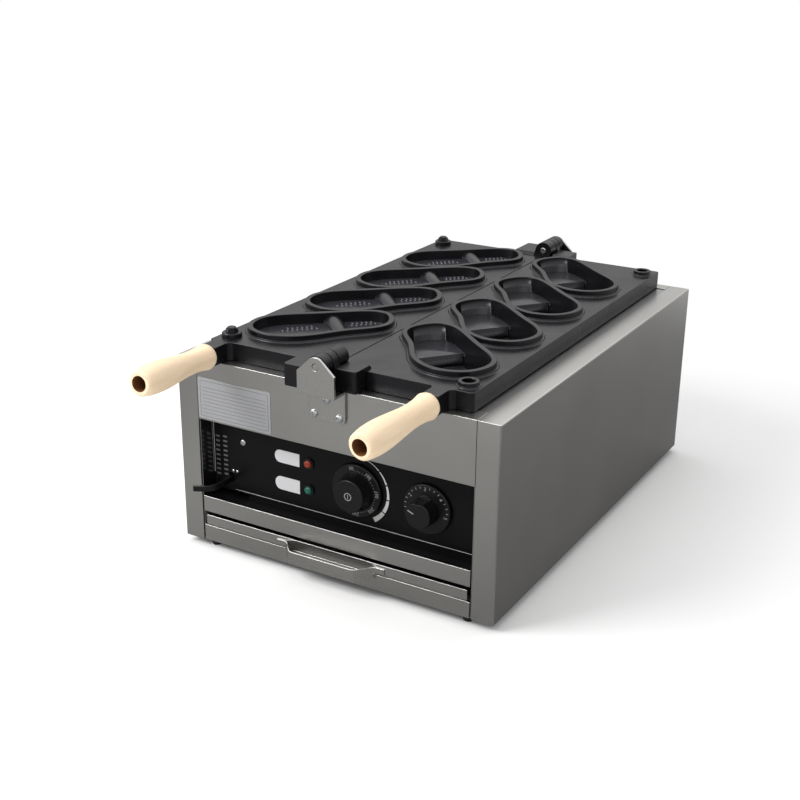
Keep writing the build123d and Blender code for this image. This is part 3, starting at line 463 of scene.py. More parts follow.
def rounded(node, body, slot, finish, *steps, second=None):
    """The CAD node with its edges rounded step by step, in its place.

    A second finish goes on the faces that its test picks: (material, test).
    """
    shape = welded(node)
    for how in steps:
        round_edges(shape, how)
    if second:
        material, test = second
        for face in shape.faces:
            face.material_index = int(test(face))
    made = piece(f"{node}_finished", body, finish, shape, flat_faces=True, stands_for=node)
    if second:
        made.data.materials.append(material)


def paint(finish, *nodes):
    """Give CAD nodes a finish as they are."""
    for node in nodes:
        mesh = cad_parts[node].data
        mesh.materials.clear()
        mesh.materials.append(finish)


def towards_front(y):
    """Stand a drawing on the XY plane up at depth y, facing the front."""
    return Matrix.Translation((0, y, 0)) @ Matrix.Rotation(pi / 2, 4, "X")


def drawn(name, body, slot, finish, shape, y, place=Matrix(), flat_faces=False):
    """A piece drawn on the XY plane, moved to its place there and stood up at depth y."""
    bmesh.ops.transform(shape, matrix=towards_front(y) @ place, verts=shape.verts)
    piece(name, body, finish, shape, flat_faces)


def thicken(shape, height):
    """Raise a flat drawing on the XY plane to a closed sheet."""
    made = bmesh.ops.extrude_face_region(shape, geom=list(shape.faces))
    risen = [item for item in made["geom"] if isinstance(item, bmesh.types.BMVert)]
    bmesh.ops.translate(shape, verts=risen, vec=(0, 0, height))
    bmesh.ops.recalc_face_normals(shape, faces=shape.faces)


def join(shape, other, place=None):
    """Add another bmesh to this one, put in its place."""
    if place is not None:
        bmesh.ops.transform(other, matrix=place, verts=other.verts)
    mesh = as_mesh("joined", other)
    shape.from_mesh(mesh)
    bpy.data.meshes.remove(mesh)


def rectangle(shape, x0, x1, y0, y1, height, corner=0, left_only=False):
    """Add a sheet on the XY plane, with all of its corners or the left ones rounded."""
    sheet = bmesh.new()
    places = ((x0, y0), (x1, y0), (x1, y1), (x0, y1))
    face = sheet.faces.new([sheet.verts.new((x, y, 0)) for x, y in places])
    if corner:
        chosen = [v for v in face.verts if not left_only or v.co.x < (x0 + x1) / 2]
        bevel(sheet, chosen, corner, 8, "VERTICES")
    thicken(sheet, height)
    join(shape, sheet)


def digits(shape, text, height, thickness, place):
    """Add a number as a thin closed sheet, centred on its place."""
    # A figure is 0.7 of the font's size high.
    letters = bpy.data.curves.new("digits", "FONT")
    letters.body = text
    letters.size = height / 0.7
    letters.align_x = "CENTER"
    letters.align_y = "CENTER"
    letters.extrude = thickness / 2
    letters.resolution_u = 3
    holder = shown("digits", letters)
    mesh = bpy.data.meshes.new_from_object(
        holder.evaluated_get(bpy.context.evaluated_depsgraph_get())
    )
    bpy.data.objects.remove(holder)
    bpy.data.curves.remove(letters)
    mesh.transform(place @ Matrix.Translation((0, 0, thickness / 2)))
    shape.from_mesh(mesh)
    bpy.data.meshes.remove(mesh)


def lathe(profile, steps):
    """Spin a profile of (radius, height) points all the way round Z."""
    shape = bmesh.new()
    verts = [shape.verts.new((r, 0, z)) for r, z in profile]
    edges = [shape.edges.new(pair) for pair in zip(verts, verts[1:])]
    bmesh.ops.spin(
        shape, geom=verts + edges, cent=(0, 0, 0), axis=(0, 0, 1), angle=2 * pi, steps=steps,
        use_merge=True,
    )
    bmesh.ops.remove_doubles(shape, verts=shape.verts, dist=WELD)
    bmesh.ops.recalc_face_normals(shape, faces=shape.faces)
    return shape


def tapered(low, high, z0, z1, segments):
    """An upright round or many-sided bar with its radius at each end."""
    shape = bmesh.new()
    bmesh.ops.create_cone(
        shape, cap_ends=True, segments=segments, radius1=low, radius2=high, depth=z1 - z0,
        matrix=Matrix.Translation((0, 0, (z0 + z1) / 2)),
    )
    return shape


class Screw(NamedTuple):
    """A pan-head screw in millimetres.

    Its head is (radius, height, reach of the cross) and its nut (radius, start, end) below
    the seat.
    """
    head: tuple
    shank: float
    reach: float
    nut: Optional[tuple] = None


# As shares of a pan head: half the width of the cross's arms, the cross's depth, and the
# radius and drop of the ring round it. Further rings grow outwards and drop by HEAD_RINGS.
ARM, DEPTH, CROWN, CROWN_DROP = 0.24, 0.55, 0.62, 0.03
HEAD_RINGS = ((1.32, 0.16), (1.16, 0.25), (1.04, 0.3), (1.0, 0.26))


def extruded(shape, edges, vec):
    """Extrude edges by a vector. Gives the new vertices and the edges between them."""
    grown = bmesh.ops.extrude_edge_only(shape, edges=edges)["geom"]
    verts = [item for item in grown if isinstance(item, bmesh.types.BMVert)]
    bmesh.ops.translate(shape, verts=verts, vec=vec)
    return verts, [
        item for item in grown
        if isinstance(item, bmesh.types.BMEdge) and all(vert in verts for vert in item.verts)
    ]


def pan_head(radius, height, recess):
    """A pan-head screw's head with a cross recess, its seat on the XY plane."""
    shape = bmesh.new()
    half = recess * ARM
    corner, outline = [(half, recess), (half, half), (recess, half)], []
    for _ in range(4):
        outline += corner
        corner = [(y, -x) for x, y in corner]
    cross = [shape.verts.new((x, y, height)) for x, y in outline]
    cross_edges = [shape.edges.new(pair) for pair in zip(cross, cross[1:] + cross[:1])]
    ring = bmesh.ops.create_circle(
        shape, segments=24, radius=radius * CROWN,
        matrix=Matrix.Translation((0, 0, height - height * CROWN_DROP)),
    )["verts"]
    ring_edges = list({edge for vert in ring for edge in vert.link_edges})
    bmesh.ops.bridge_loops(shape, edges=cross_edges + ring_edges)
    for scale, drop in HEAD_RINGS:
        verts, ring_edges = extruded(shape, ring_edges, (0, 0, -height * drop))
        bmesh.ops.scale(shape, verts=verts, vec=(scale, scale, 1))
    bmesh.ops.contextual_create(shape, geom=ring_edges)
    low_edges = extruded(shape, cross_edges, (0, 0, -height * DEPTH))[1]
    bmesh.ops.contextual_create(shape, geom=low_edges)
    bmesh.ops.recalc_face_normals(shape, faces=shape.faces)
    return shape


def screw(shape, kind, place, turn):
    """Add the head, shank and nut of one screw, with its cross turned."""
    at = place @ Matrix.Rotation(turn, 4, "Z")
    radius, height, recess = mm(*kind.head)
    shank, reach = mm(kind.shank, kind.reach)
    join(shape, pan_head(radius, height, recess), at)
    # The shank ends inside the head.
    join(shape, tapered(shank, shank, -reach, height * 0.3, 16), at)
    if kind.nut:
        nut, start, end = mm(*kind.nut)
        join(shape, tapered(nut, nut, -end, -start, 6), at)


# The moulds, in millimetres and degrees. The soles lie CAVITY_PITCH apart and turned by
# SOLE_TURN, the first with its tip at SOLE_TIP. A row of tread ridges is its first place from
# the tip along and across the sole, its count, and how far every second ridge stands off.
CAVITY_PITCH = 113.0
SOLE_TIP = (45, 78)
SOLE_TURN = radians(46.5)
TREAD_PITCH = 5.6
TREAD_ROWS = ((54, -12, 8, 1.0), (58, -20, 6, 0), (-15, -13, 6, 0), (-12, -20, 5, 0))
RIDGE_LENGTH, RIDGE_WIDTH, RIDGE_CHAMFER = mm(1.9, 4.6, 0.5)

# Locating pins above the plate: the boss and the tip as (radius, height), and the stud's
# radii and heights at both ends
PIN_BOSS = ((0, -1), (11.4, -1), (11.0, 4.4), (10.3, 5.2), (0, 5.4))
PIN_STUD = (7.6, 6.4, 5, 9.4)
PIN_TIP = ((0, 9), (5.4, 9), (5.2, 10.2), (4.3, 11), (0, 11.2))


def inside_cavity(face):
    """Whether a face is part of a cavity's floor, hump or step, and not of the front lugs."""
    # The faces picked here get a lighter tone, which is a painted sheen on the upward faces in the
    # cavities.
    middle = face.calc_center_median()
    front, high = MOULD_FRONT + 12 * MM, PLATE_TOP - 1 * MM
    return face.normal.z > 0.3 and middle.z < high and middle.y > front


def locating_pins(coating):
    """Hexagonal studs on round bosses, which guide one mould onto the other."""
    shape = bmesh.new()
    low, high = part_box("locating_pins")
    reach = (high.x - low.x) / 2
    for y in (low.y + reach, high.y - reach):
        place = Matrix.Translation((low.x + reach, y, PLATE_TOP))
        join(shape, lathe([mm(*point) for point in PIN_BOSS], 40), place)
        join(shape, tapered(*mm(*PIN_STUD), 6), place)
        join(shape, lathe([mm(*point) for point in PIN_TIP], 24), place)
    piece(
        "locating_pins_finished", "left_mould_swing", coating, shape,
        stands_for="locating_pins"
    )


def tread_ridges(height, glint_finish):
    """Small ridges on the shallow floors, which print the tread of the sole."""
    shape = bmesh.new()
    spots = [
        (along + TREAD_PITCH * step, across - offset * (step % 2))
        for along, across, count, offset in TREAD_ROWS for step in range(count)
    ]
    for sole in range(4):
        for u, v in spots:
            x = -(SOLE_TIP[0] + u * cos(SOLE_TURN) - v * sin(SOLE_TURN))
            y = -SOLE_TIP[1] - u * sin(SOLE_TURN) - v * cos(SOLE_TURN) + sole * CAVITY_PITCH
            ridge = bmesh.new()
            bmesh.ops.create_cube(ridge, size=1)
            # Its lower half is inside the casting.
            bmesh.ops.scale(
                ridge, verts=ridge.verts, vec=(RIDGE_LENGTH, RIDGE_WIDTH, height * 2)
            )
            top = [edge for edge in ridge.edges if all(vert.co.z > 0 for vert in edge.verts)]
            bevel(ridge, top, RIDGE_CHAMFER, 1)
            place = Matrix.Translation((*mm(x, y), SHALLOW_FLOOR))
            join(shape, ridge, place @ Matrix.Rotation(SOLE_TURN, 4, "Z"))
    # The ridges' finish is lighter than the coating: painted glints.
    piece("tread_ridges", "left_mould_swing", glint_finish, shape)


class WAFFLE_OT_castings(Operator):
    """Cast moulds with rounded rims, their locating pins and the ridges in the cavities"""
    bl_idname = "waffle.castings"
    bl_label = "Cast moulds"

    def execute(self, context):
        sizes, tone = settings(context)
        coating = cast_coating("Non-stick coating on cast aluminium", tone.casting, 0.29)
        # The coat of the cavity floors is glossier, and its lighter tone is a painted sheen.
        sheened_floors = cast_coating("Non-stick coating with painted sheen", tone.floor_sheen, 0.24)
        below = RIM_TOP - sizes.rim_edge - CLOSE

        def on_rim(edge):
            return all(vert.co.z > RIM_TOP - CLOSE for vert in edge.verts)

        def elsewhere(edge):
            """Whether an edge is below the rims, and not on the underside or a cavity's floor."""
            heights = [vert.co.z for vert in edge.verts]
            return (
                all(z < below and abs(z - UNDERSIDE) > CLOSE for z in heights)
                and not all(abs(z - SHALLOW_FLOOR) < CLOSE for z in heights)
                and not all(abs(z - DEEP_FLOOR) < CLOSE for z in heights)
            )

        rims = Rounding(sizes.rim_edge, 4, on_rim, spaced=True)
        rest = Rounding(sizes.casting_edge, where=elsewhere)
        plain = Rounding(sizes.casting_edge)
        floors = (sheened_floors, inside_cavity)
        for side in ("left", "right"):
            body = f"{side}_mould_swing"
            rounded(f"{side}_mould", body, "cast_coated", coating, rims, rest, second=floors)
            rounded(f"{side}_hinge_lugs", body, "cast_coated", coating, plain)
            rounded(f"{side}_knuckles", body, "cast_coated", coating, plain)
        locating_pins(coating)
        # Painted glints: the ridges get a lighter grey metal with a dull shine, standing in for
        # highlights on their coating
        glint_finish = grained("Casting ridges with painted glints", tone.ridge_glints, 0.3, 0.8, 0.02, Metallic=0.8)
        tread_ridges(sizes.tread_height, glint_finish)
        return {"FINISHED"}


# Screws of the hinge brackets: their sizes, and x and z in millimetres with the cross's turn
BRACKET_THICKNESS = 3 * MM
BRACKET_SCREW = Screw((4.6, 2.6, 2.4), 2.5, 10.2, (4.6, 4.2, 8.2))
BRACKET_SCREWS = ((-15.5, 199.5, 0.3), (15.5, 199.5, 0.9), (0, 217.5, 0.1))


class WAFFLE_OT_hinges(Operator):
    """Hinge brackets, axles and their screws"""
    bl_idname = "waffle.hinges"
    bl_label = "Hinges"

    def execute(self, context):
        sizes, tone = settings(context)
        strip = steel_strip(tone.steel)
        edges = Rounding(sizes.sheet_edge, 3)
        for end in ("front", "rear"):
            rounded(f"{end}_hinge_bracket", "cabinet", "stainless", strip, edges)
        paint(strip, "front_hinge_pin", "rear_hinge_pin")
        shape = bmesh.new()
        front = APRON_FACE - BRACKET_THICKNESS
        for x, z, turn in BRACKET_SCREWS:
            for seat, facing in ((front, pi / 2), (2 * HINGES_MIDDLE - front, -pi / 2)):
                place = Matrix.Translation((x * MM, seat, z * MM))
                screw(shape, BRACKET_SCREW, place @ Matrix.Rotation(facing, 4, "X"), turn)
        piece(
            "bracket_screws_finished", "cabinet", zinc_plate(tone.zinc), shape,
            stands_for="bracket_screws"
        )
        return {"FINISHED"}


# Faces of a handle nearer than this to its middle line belong to the bore.
BORE_REACH = 9.2 * MM


def grip(side, beech, bore):
    """The turned grip, with its bore in a darker tone that is painted shade."""
    # The rod's middle line runs between the middles of its two ends.
    rod = [vert.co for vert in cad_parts[f"{side}_handle_rod"].data.vertices]
    end = 2 * MM
    front, back = min(co.y for co in rod), max(co.y for co in rod)
    near = [co for co in rod if co.y < front + end]
    far = [co for co in rod if co.y > back - end]
    start = sum(near, Vector()) / len(near)
    along = (sum(far, Vector()) / len(far) - start).normalized()

    def inside(face):
        places = [vert.co - start for vert in face.verts]
        return all((co - co.dot(along) * along).length < BORE_REACH for co in places)

    rounded(f"{side}_handle", f"{side}_mould_swing", "beech", beech, second=(bore, inside))


class WAFFLE_OT_handles(Operator):
    """Turned wooden grips on their rods"""
    bl_idname = "waffle.handles"
    bl_label = "Wooden handles"

    def execute(self, context):
        tone = settings(context)[1]
        beech = turned_beech("Turned beech", tone.beech, tone.beech_grain)
        # The dark beech tone of the bores is painted shade inside the holes.
        bore = turned_beech("Beech in the bores, darkened as painted shade", tone.bore, tone.bore)
        turned = turned_steel(tone.pin)
        for side in ("left", "right"):
            grip(side, beech, bore)
            paint(turned, f"{side}_handle_rod", f"{side}_handle_collar", f"{side}_handle_nut")
        return {"FINISHED"}


class WAFFLE_OT_cabinet(Operator):
    """Folded sheet steel of the cabinet, and its rubber feet"""
    bl_idname = "waffle.cabinet"
    bl_label = "Cabinet"

    def execute(self, context):
        sizes, tone = settings(context)
        across = front_sheet(tone.steel)
        lengthwise = brushed_steel("Brushed stainless sheet, sides", tone.steel, 0.3, "z")
        inner = brushed_steel("Mill finish stainless sheet", tone.inner_steel, 0.36, "x")
        bright = brushed_steel("Bright annealed stainless sheet", tone.inner_steel, 0.16, "x")
        edges = Rounding(sizes.sheet_edge, 3)
        for side in ("left", "right"):
            rounded(f"{side}_side_panel", "cabinet", "stainless", lengthwise, edges)
        for sheet in ("front_apron", "lower_fascia", "bottom_rail", "rear_panel"):
            rounded(sheet, "cabinet", "stainless", across, edges)
        paint(inner, "deck")
        paint(bright, "left_liner", "right_liner")
        # The shelf in the recess is painted black like the panel: painted shade and painted
        # reflection of the dark recess.
        paint(powder_coat(tone.panel), "control_shelf")
        paint(galvanised_sheet(tone.inner_steel), "base_plate", "partition", "tray_runners")
        # Moulded nitrile rubber: dark grey and dull, slightly rough from its mould
        paint(grained("Moulded rubber", tone.rubber, 0.7, 1.0, 0.03), "rubber_feet")
        paint(zinc_plate(tone.zinc), "foot_screws")
        return {"FINISHED"}


class WAFFLE_OT_tray(Operator):
    """Crumb tray with its bowed strip handle"""
    bl_idname = "waffle.tray"
    bl_label = "Crumb tray"

    def execute(self, context):
        sizes, tone = settings(context)
        edges, strip_edges = Rounding(sizes.sheet_edge, 3), Rounding(sizes.strip_edge)
        rounded("crumb_tray", "tray", "stainless", front_sheet(tone.steel), edges)
        rounded("tray_handle", "tray", "stainless", steel_strip(tone.steel), strip_edges)
        return {"FINISHED"}


# The type plate on the apron, in millimetres: left, right, low and high edges of the plate
# and of its printed frame, then the ruled rows
PLATE = (-172, -74, 161, 209)
PLATE_CORNER = 1.5
PLATE_FRAME = (-169, -77, 164, 206)
FRAME_LINE = 0.4
ROWS, FIRST_ROW, ROW_PITCH, ROW_LINE, ROW_INSET = 8, 168.6, 4.2, 0.35, 3


class WAFFLE_OT_type_plate(Operator):
    """Blank ruled plate on the apron"""
    bl_idname = "waffle.type_plate"
    bl_label = "Type plate"

    def execute(self, context):
        sizes, tone = settings(context)
        film = label_film("Satin silver polyester film", tone.type_plate, 0.3)
        ink = print_ink("Grey print on film", tone.ruling)
        thickness, height = sizes.type_plate_thickness, sizes.print_height
        sheet = bmesh.new()
        rectangle(sheet, *mm(*PLATE), thickness, PLATE_CORNER * MM)
        drawn("type_plate", "cabinet", "stainless", film, sheet, APRON_FACE, flat_faces=True)
        lines = bmesh.new()
        left, right, low, high = PLATE_FRAME
        for z in (low, high - FRAME_LINE):
            rectangle(lines, *mm(left, right, z, z + FRAME_LINE), height)
        for x in (left, right - FRAME_LINE):
            rectangle(
                lines, *mm(x, x + FRAME_LINE, low + FRAME_LINE, high - FRAME_LINE), height
            )
        for row in range(ROWS):
            z = FIRST_ROW + ROW_PITCH * row
            rectangle(lines, *mm(left + ROW_INSET, right - ROW_INSET, z, z + ROW_LINE), height)
        face = APRON_FACE - thickness
        drawn("type_plate_ruling", "cabinet", "panel_black", ink, lines, face)
        return {"FINISHED"}


# The control panel, in millimetres: the labels' left, right, low and high edges and their
# corner as a share of their height, the columns of marks, and the lines at the panel's edge,
# which are painted highlights in white ink
LABELS = ((-86.4, -53.6, 118.6, 133.7), (-86.4, -53.6, 85.8, 101.8))
LABEL_CORNER = 0.47
MARK_COLUMNS = ((-169.0, 84.0), (-158.5, 85.2))
MARKS, MARK_PITCH, MARK_WIDTH, MARK_HEIGHT = 9, 5.8, 5.6, 2.2
EDGE_LINE, EDGE_INSET, LOW_INSET = mm(0.7, 0.3, 1.6)
LOW_LINE_START, LEFT_LINE_LOW, LEFT_LINE_HIGH = mm(-143, 86, 158)

# The white band round the temperature dial: its radius and its width at each end in
# millimetres, how fast it widens, its first and last angle, and its gaps
BAND_RADIUS, BAND_START, BAND_GROWTH = mm(39.4, 0.7, 5.0)
BAND_CURVE = 1.4
BAND_FIRST, BAND_LAST, BAND_GAP = radians(72), radians(-56), radians(2.2)
BANDS = 5

# Screws in the panel: their sizes, and x and z in millimetres with the cross's turn
PANEL_SCREW = Screw((4.0, 2.2, 2.1), 2.0, 11.5, (4.0, 1.5, 7.5))
PANEL_SCREWS = ((-129.7, 131.0, 0.5),)
SWITCH_SCREW = Screw((1.9, 1.4, 1.1), 1.4, 1.5)
SWITCH_SCREWS = ((-145.2, 93.0, 0.2), (-139.6, 93.0, 0.7))


def temperature_scale(height, ink):
    """White band round the temperature dial that widens towards the hot end."""
    shape = bmesh.new()
    span = (BAND_FIRST - BAND_LAST) / BANDS
    for step in range(BANDS):
        start = BAND_FIRST - span * step - (BAND_GAP / 2 if step else 0)
        end = BAND_FIRST - span * (step + 1) + (BAND_GAP / 2 if step < BANDS - 1 else 0)
        band = bmesh.new()
        # Spun as an even band first. Its inner edge then moves to the true width.
        near, far = (
            band.verts.new((radius * cos(start), radius * sin(start), 0))
            for radius in (BAND_RADIUS, 0.9 * BAND_RADIUS)
        )
        edge = band.edges.new((near, far))
        bmesh.ops.spin(
            band, geom=[near, far, edge], cent=(0, 0, 0), axis=(0, 0, 1),
            angle=end - start, steps=10
        )
        for vert in band.verts:
            if vert.co.length < 0.95 * BAND_RADIUS:
                angle = -Vector((1, 0)).angle_signed(vert.co.xy)
                share = max(0, (BAND_FIRST - angle) / (BAND_FIRST - BAND_LAST))
                width = BAND_START + BAND_GROWTH * share ** BAND_CURVE
                vert.co = vert.co.normalized() * (BAND_RADIUS - width)
        thicken(band, height)
        join(shape, band)
    place = Matrix.Translation((*TEMPERATURE.centre, 0))
    drawn("temperature_scale", "cabinet", "panel_black", ink, shape, PANEL_FACE, place)


def panel_screws(node, kind, places, zinc):
    """Screws of one kind in the panel, in place of their CAD node."""
    shape = bmesh.new()
    for x, z, turn in places:
        at = towards_front(PANEL_FACE) @ Matrix.Translation((*mm(x, z), 0))
        screw(shape, kind, at, turn)
    piece(f"{node}_finished", "cabinet", zinc, shape, stands_for=node)


class WAFFLE_OT_control_panel(Operator):
    """Black panel with its labels, scale and plain marks"""
    bl_idname = "waffle.control_panel"
    bl_label = "Control panel"

    def execute(self, context):
        sizes, tone = settings(context)
        paint(powder_coat(tone.panel), "control_panel")
        film = label_film("White polyester label", tone.film, 0.0)
        ink = print_ink("White print", tone.ink)
        faint = print_ink("Faint grey print", tone.faint_ink)
        height = sizes.print_height
        labels = bmesh.new()
        for edges in LABELS:
            corner = (edges[3] - edges[2]) * LABEL_CORNER * MM
            rectangle(labels, *mm(*edges), sizes.label_thickness, corner, left_only=True)
        on_panel = "cabinet", "panel_black"
        drawn("lamp_labels", *on_panel, film, labels, PANEL_FACE, flat_faces=True)
        marks = bmesh.new()
        for x, low in MARK_COLUMNS:
            for row in range(MARKS):
                z = low + row * MARK_PITCH
                rectangle(marks, *mm(x, x + MARK_WIDTH, z, z + MARK_HEIGHT), height)
        drawn("plain_marks", *on_panel, faint, marks, PANEL_FACE)
        # The white lines along the panel's bottom and left edges are painted highlights of those
        # edges.
        lines = bmesh.new()
        low, left = PANEL_LOW.z + LOW_INSET, PANEL_LOW.x + EDGE_INSET
        right = PANEL_HIGH.x - EDGE_INSET
        rectangle(lines, LOW_LINE_START, right, low, low + EDGE_LINE, height)
        rectangle(lines, left, left + EDGE_LINE, LEFT_LINE_LOW, LEFT_LINE_HIGH, height)
        drawn("panel_edge_highlights", *on_panel, ink, lines, PANEL_FACE)
        temperature_scale(height, ink)
        zinc = zinc_plate(tone.zinc)
        panel_screws("panel_screw", PANEL_SCREW, PANEL_SCREWS, zinc)
        panel_screws("switch_screws", SWITCH_SCREW, SWITCH_SCREWS, zinc)
        return {"FINISHED"}


class Dial(NamedTuple):
    """A printed dial: its centre, its numbers from the first angle on, and marks between them.

    Angles are in degrees, anticlockwise from the right, and radii in millimetres.
    """
    centre: tuple
    numbers: tuple
    first: float
    pitch: float
    radius: float
    parts: int
    mark_radius: float


TEMPERATURE = Dial(
    mm(22.0, 109.5), ("50", "100", "150", "200", "250", "300"), 102, -48, 26.2, 6, 24.2
)
TIMER = Dial(mm(108.5, 109.5), ("5", "4", "3", "2", "1", "0"), 350, 52, 23.2, 4, 25.2)
# The face of the skirts, which are 3 mm thick, and the sizes of what is printed on the dials
DIAL_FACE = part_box("temperature_knob")[1].y - 3.0 * MM
DOT_RADIUS = 0.45 * MM
TICK = mm(-0.3, 0.3, -1.4, 1.0)
POINTER = mm(-0.6, 0.6, 5, 12.5)
POINTER_TURN = radians(68)
RING_INNER, RING_OUTER, RING_BAR_WIDTH, RING_BAR_LENGTH = mm(3.6, 4.5, 0.8, 4.8)


def spot(dial, radius, degrees):
    """A place on a dial with its top to the outside."""
    angle = radians(degrees)
    x = dial.centre[0] + radius * MM * cos(angle)
    z = dial.centre[1] + radius * MM * sin(angle)
    return Matrix.Translation((x, z, 0)) @ Matrix.Rotation(angle - pi / 2, 4, "Z")


def dial_numbers(name, dial, mark, sizes, ink):
    """Numbers round a dial's skirt, with smaller marks between them."""
    shape = bmesh.new()
    for step, text in enumerate(dial.numbers):
        degrees = dial.first + dial.pitch * step
        place = spot(dial, dial.radius, degrees)
        digits(shape, text, sizes.digit_height, sizes.print_height, place)
        if text != dial.numbers[-1]:
            for part in range(1, dial.parts):
                turn = degrees + dial.pitch * part / dial.parts
                place = spot(dial, dial.mark_radius, turn)
                join(shape, mark(sizes.print_height), place)
    drawn(f"{name}_numbers", f"{name}_dial", "knob_black", ink, shape, DIAL_FACE)


def dot(height):
    mark = bmesh.new()
    bmesh.ops.create_circle(mark, cap_ends=True, segments=10, radius=DOT_RADIUS)
    thicken(mark, height)
    return mark


def tick(height):
    mark = bmesh.new()
    rectangle(mark, *TICK, height)
    return mark


def temperature_ring(height, ink):
    """Small ring with an upright bar on the temperature knob's face."""
    shape = bmesh.new()
    x, z = TEMPERATURE.centre
    outline = ((RING_INNER, 0), (RING_OUTER, 0), (RING_OUTER, height), (RING_INNER, height))
    join(shape, lathe(outline + outline[:1], 40), Matrix.Translation((x, z, 0)))
    half, tall = RING_BAR_WIDTH / 2, RING_BAR_LENGTH / 2
    rectangle(shape, x - half, x + half, z - tall, z + tall, height)
    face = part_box("temperature_knob")[0].y
    drawn("temperature_ring", "temperature_dial", "knob_black", ink, shape, face)


def timer_pointer(height, ink):
    """Line on the timer knob's face."""
    shape = bmesh.new()
    rectangle(shape, *POINTER, height)
    place = Matrix.Translation((*TIMER.centre, 0)) @ Matrix.Rotation(POINTER_TURN, 4, "Z")
    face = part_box("timer_knob")[0].y
    drawn("timer_pointer", "timer_dial", "knob_black", ink, shape, face, place)


class WAFFLE_OT_dials(Operator):
    """Temperature and timer knobs with their numbers"""
    bl_idname = "waffle.dials"
    bl_label = "Dials"

    def execute(self, context):
        sizes, tone = settings(context)
        moulded = moulded_black(tone.knob)
        ink = print_ink("Rubbed white print", tone.dial_ink)
        edges = Rounding(sizes.moulded_edge)
        for name in ("temperature", "timer"):
            rounded(f"{name}_knob", f"{name}_dial", "knob_black", moulded, edges)
        paint(turned_steel(tone.pin), "temperature_shaft", "timer_shaft")
        dial_numbers("temperature", TEMPERATURE, dot, sizes, ink)
        temperature_ring(sizes.print_height, ink)
        dial_numbers("timer", TIMER, tick, sizes, ink)
        timer_pointer(sizes.print_height, ink)
        return {"FINISHED"}


class WAFFLE_OT_lamps(Operator):
    """Two indicator lamps and the switch lever"""
    bl_idname = "waffle.lamps"
    bl_label = "Lamps and switch"

    def execute(self, context):
        sizes, tone = settings(context)
        moulded = moulded_black(tone.knob)
        paint(moulded, "lamp_bezels", "cable_gland")
        paint(lamp_lens("Orange polycarbonate", tone.orange_lens), "work_lamp_lens")
        paint(lamp_lens("Green polycarbonate", tone.green_lens), "power_lamp_lens")
        rounded("power_lever", "lever", "lever_black", moulded, Rounding(sizes.moulded_edge))
        return {"FINISHED"}


class WAFFLE_OT_inside(Operator):
    """Heaters, controls and terminals inside the cabinet"""
    bl_idname = "waffle.inside"
    bl_label = "Inside"

    def execute(self, context):
        tone = settings(context)[1]
        # Drawn steel tube that heat has tinted: dull and brown, in cloudy patches
        sheath = grained("Heat-tinted steel tube", tone.sheath, 0.5, 4.0, 0.01, Metallic=1.0)
        paint(sheath, "left_heater", "right_heater")
        # Drawn and turned brass: yellow and fairly bright
        brass = grained("Drawn brass", tone.brass, 0.32, 0.8, 0.01, Metallic=1.0)
        paint(brass, "heater_fittings", "thermostat_bulb")
        paint(galvanised_sheet(tone.inner_steel), "heater_supports")
        # Moulded phenolic of the inner housings: near black and matt
        phenolic = grained("Dark phenolic", tone.phenolic, 0.5, 0.8, 0.02)
        paint(phenolic, "thermostat", "timer", "switch_body")
        paint(turned_steel(tone.pin), "lever_pivot")
        # Pressed and fired steatite: off-white, with a dry surface
        steatite = grained("Steatite ceramic", tone.steatite, 0.55, 0.6, 0.02)
        paint(steatite, "terminal_block")
        return {"FINISHED"}


# The studio, in metres. The floor turns to white over FADE, from a distance that is nearer for
# the camera than for reflections. Metal and coating reflect shares of its tone along X: painted
# shade that darkens their reflections, most of all towards the left.
FLOOR_REACH = 15
CAMERA_FADE, OTHER_FADE, FADE = 0.4, 0.85, 0.8
REFLECTED_START, REFLECTED_END = -0.62, 0.45
REFLECTED = ((0, 0.14), (0.27, 0.35), (0.6, 0.35), (1, 0.24))
# Each softbox has a name, a place, a width and its watts, and faces AIM.
AIM = (0, 0, 0.15)
SOFTBOXES = (
    ("Key softbox", (-1.3, -1.5, 1.7), 1.2, 48),
    ("Top softbox", (-0.2, 0.4, 2.3), 1.4, 14),
)

# The camera, fitted to the straight edges in the photograph, with its turns in radians
CAMERA_PLACE = (0.6928, -1.26435, 0.6998)
PAN, TILT, ROLL = 0.52752, 0.36914, 0.01008
FOCAL_LENGTH, SENSOR_WIDTH = 57.98, 36


def ray_kinds(tree):
    """Whether a ray is the camera's, whether it is a reflection's, and whether it is either."""
    rays = add(tree, "LightPath").outputs
    camera = rays["Is Camera Ray"]
    reflected = add(tree, "Math", {
        0: rays["Is Glossy Ray"], 1: rays["Is Transmission Ray"],
    }, operation="MAXIMUM")
    return camera, reflected, add(tree, "Math", {0: camera, 1: reflected}, operation="MAXIMUM")


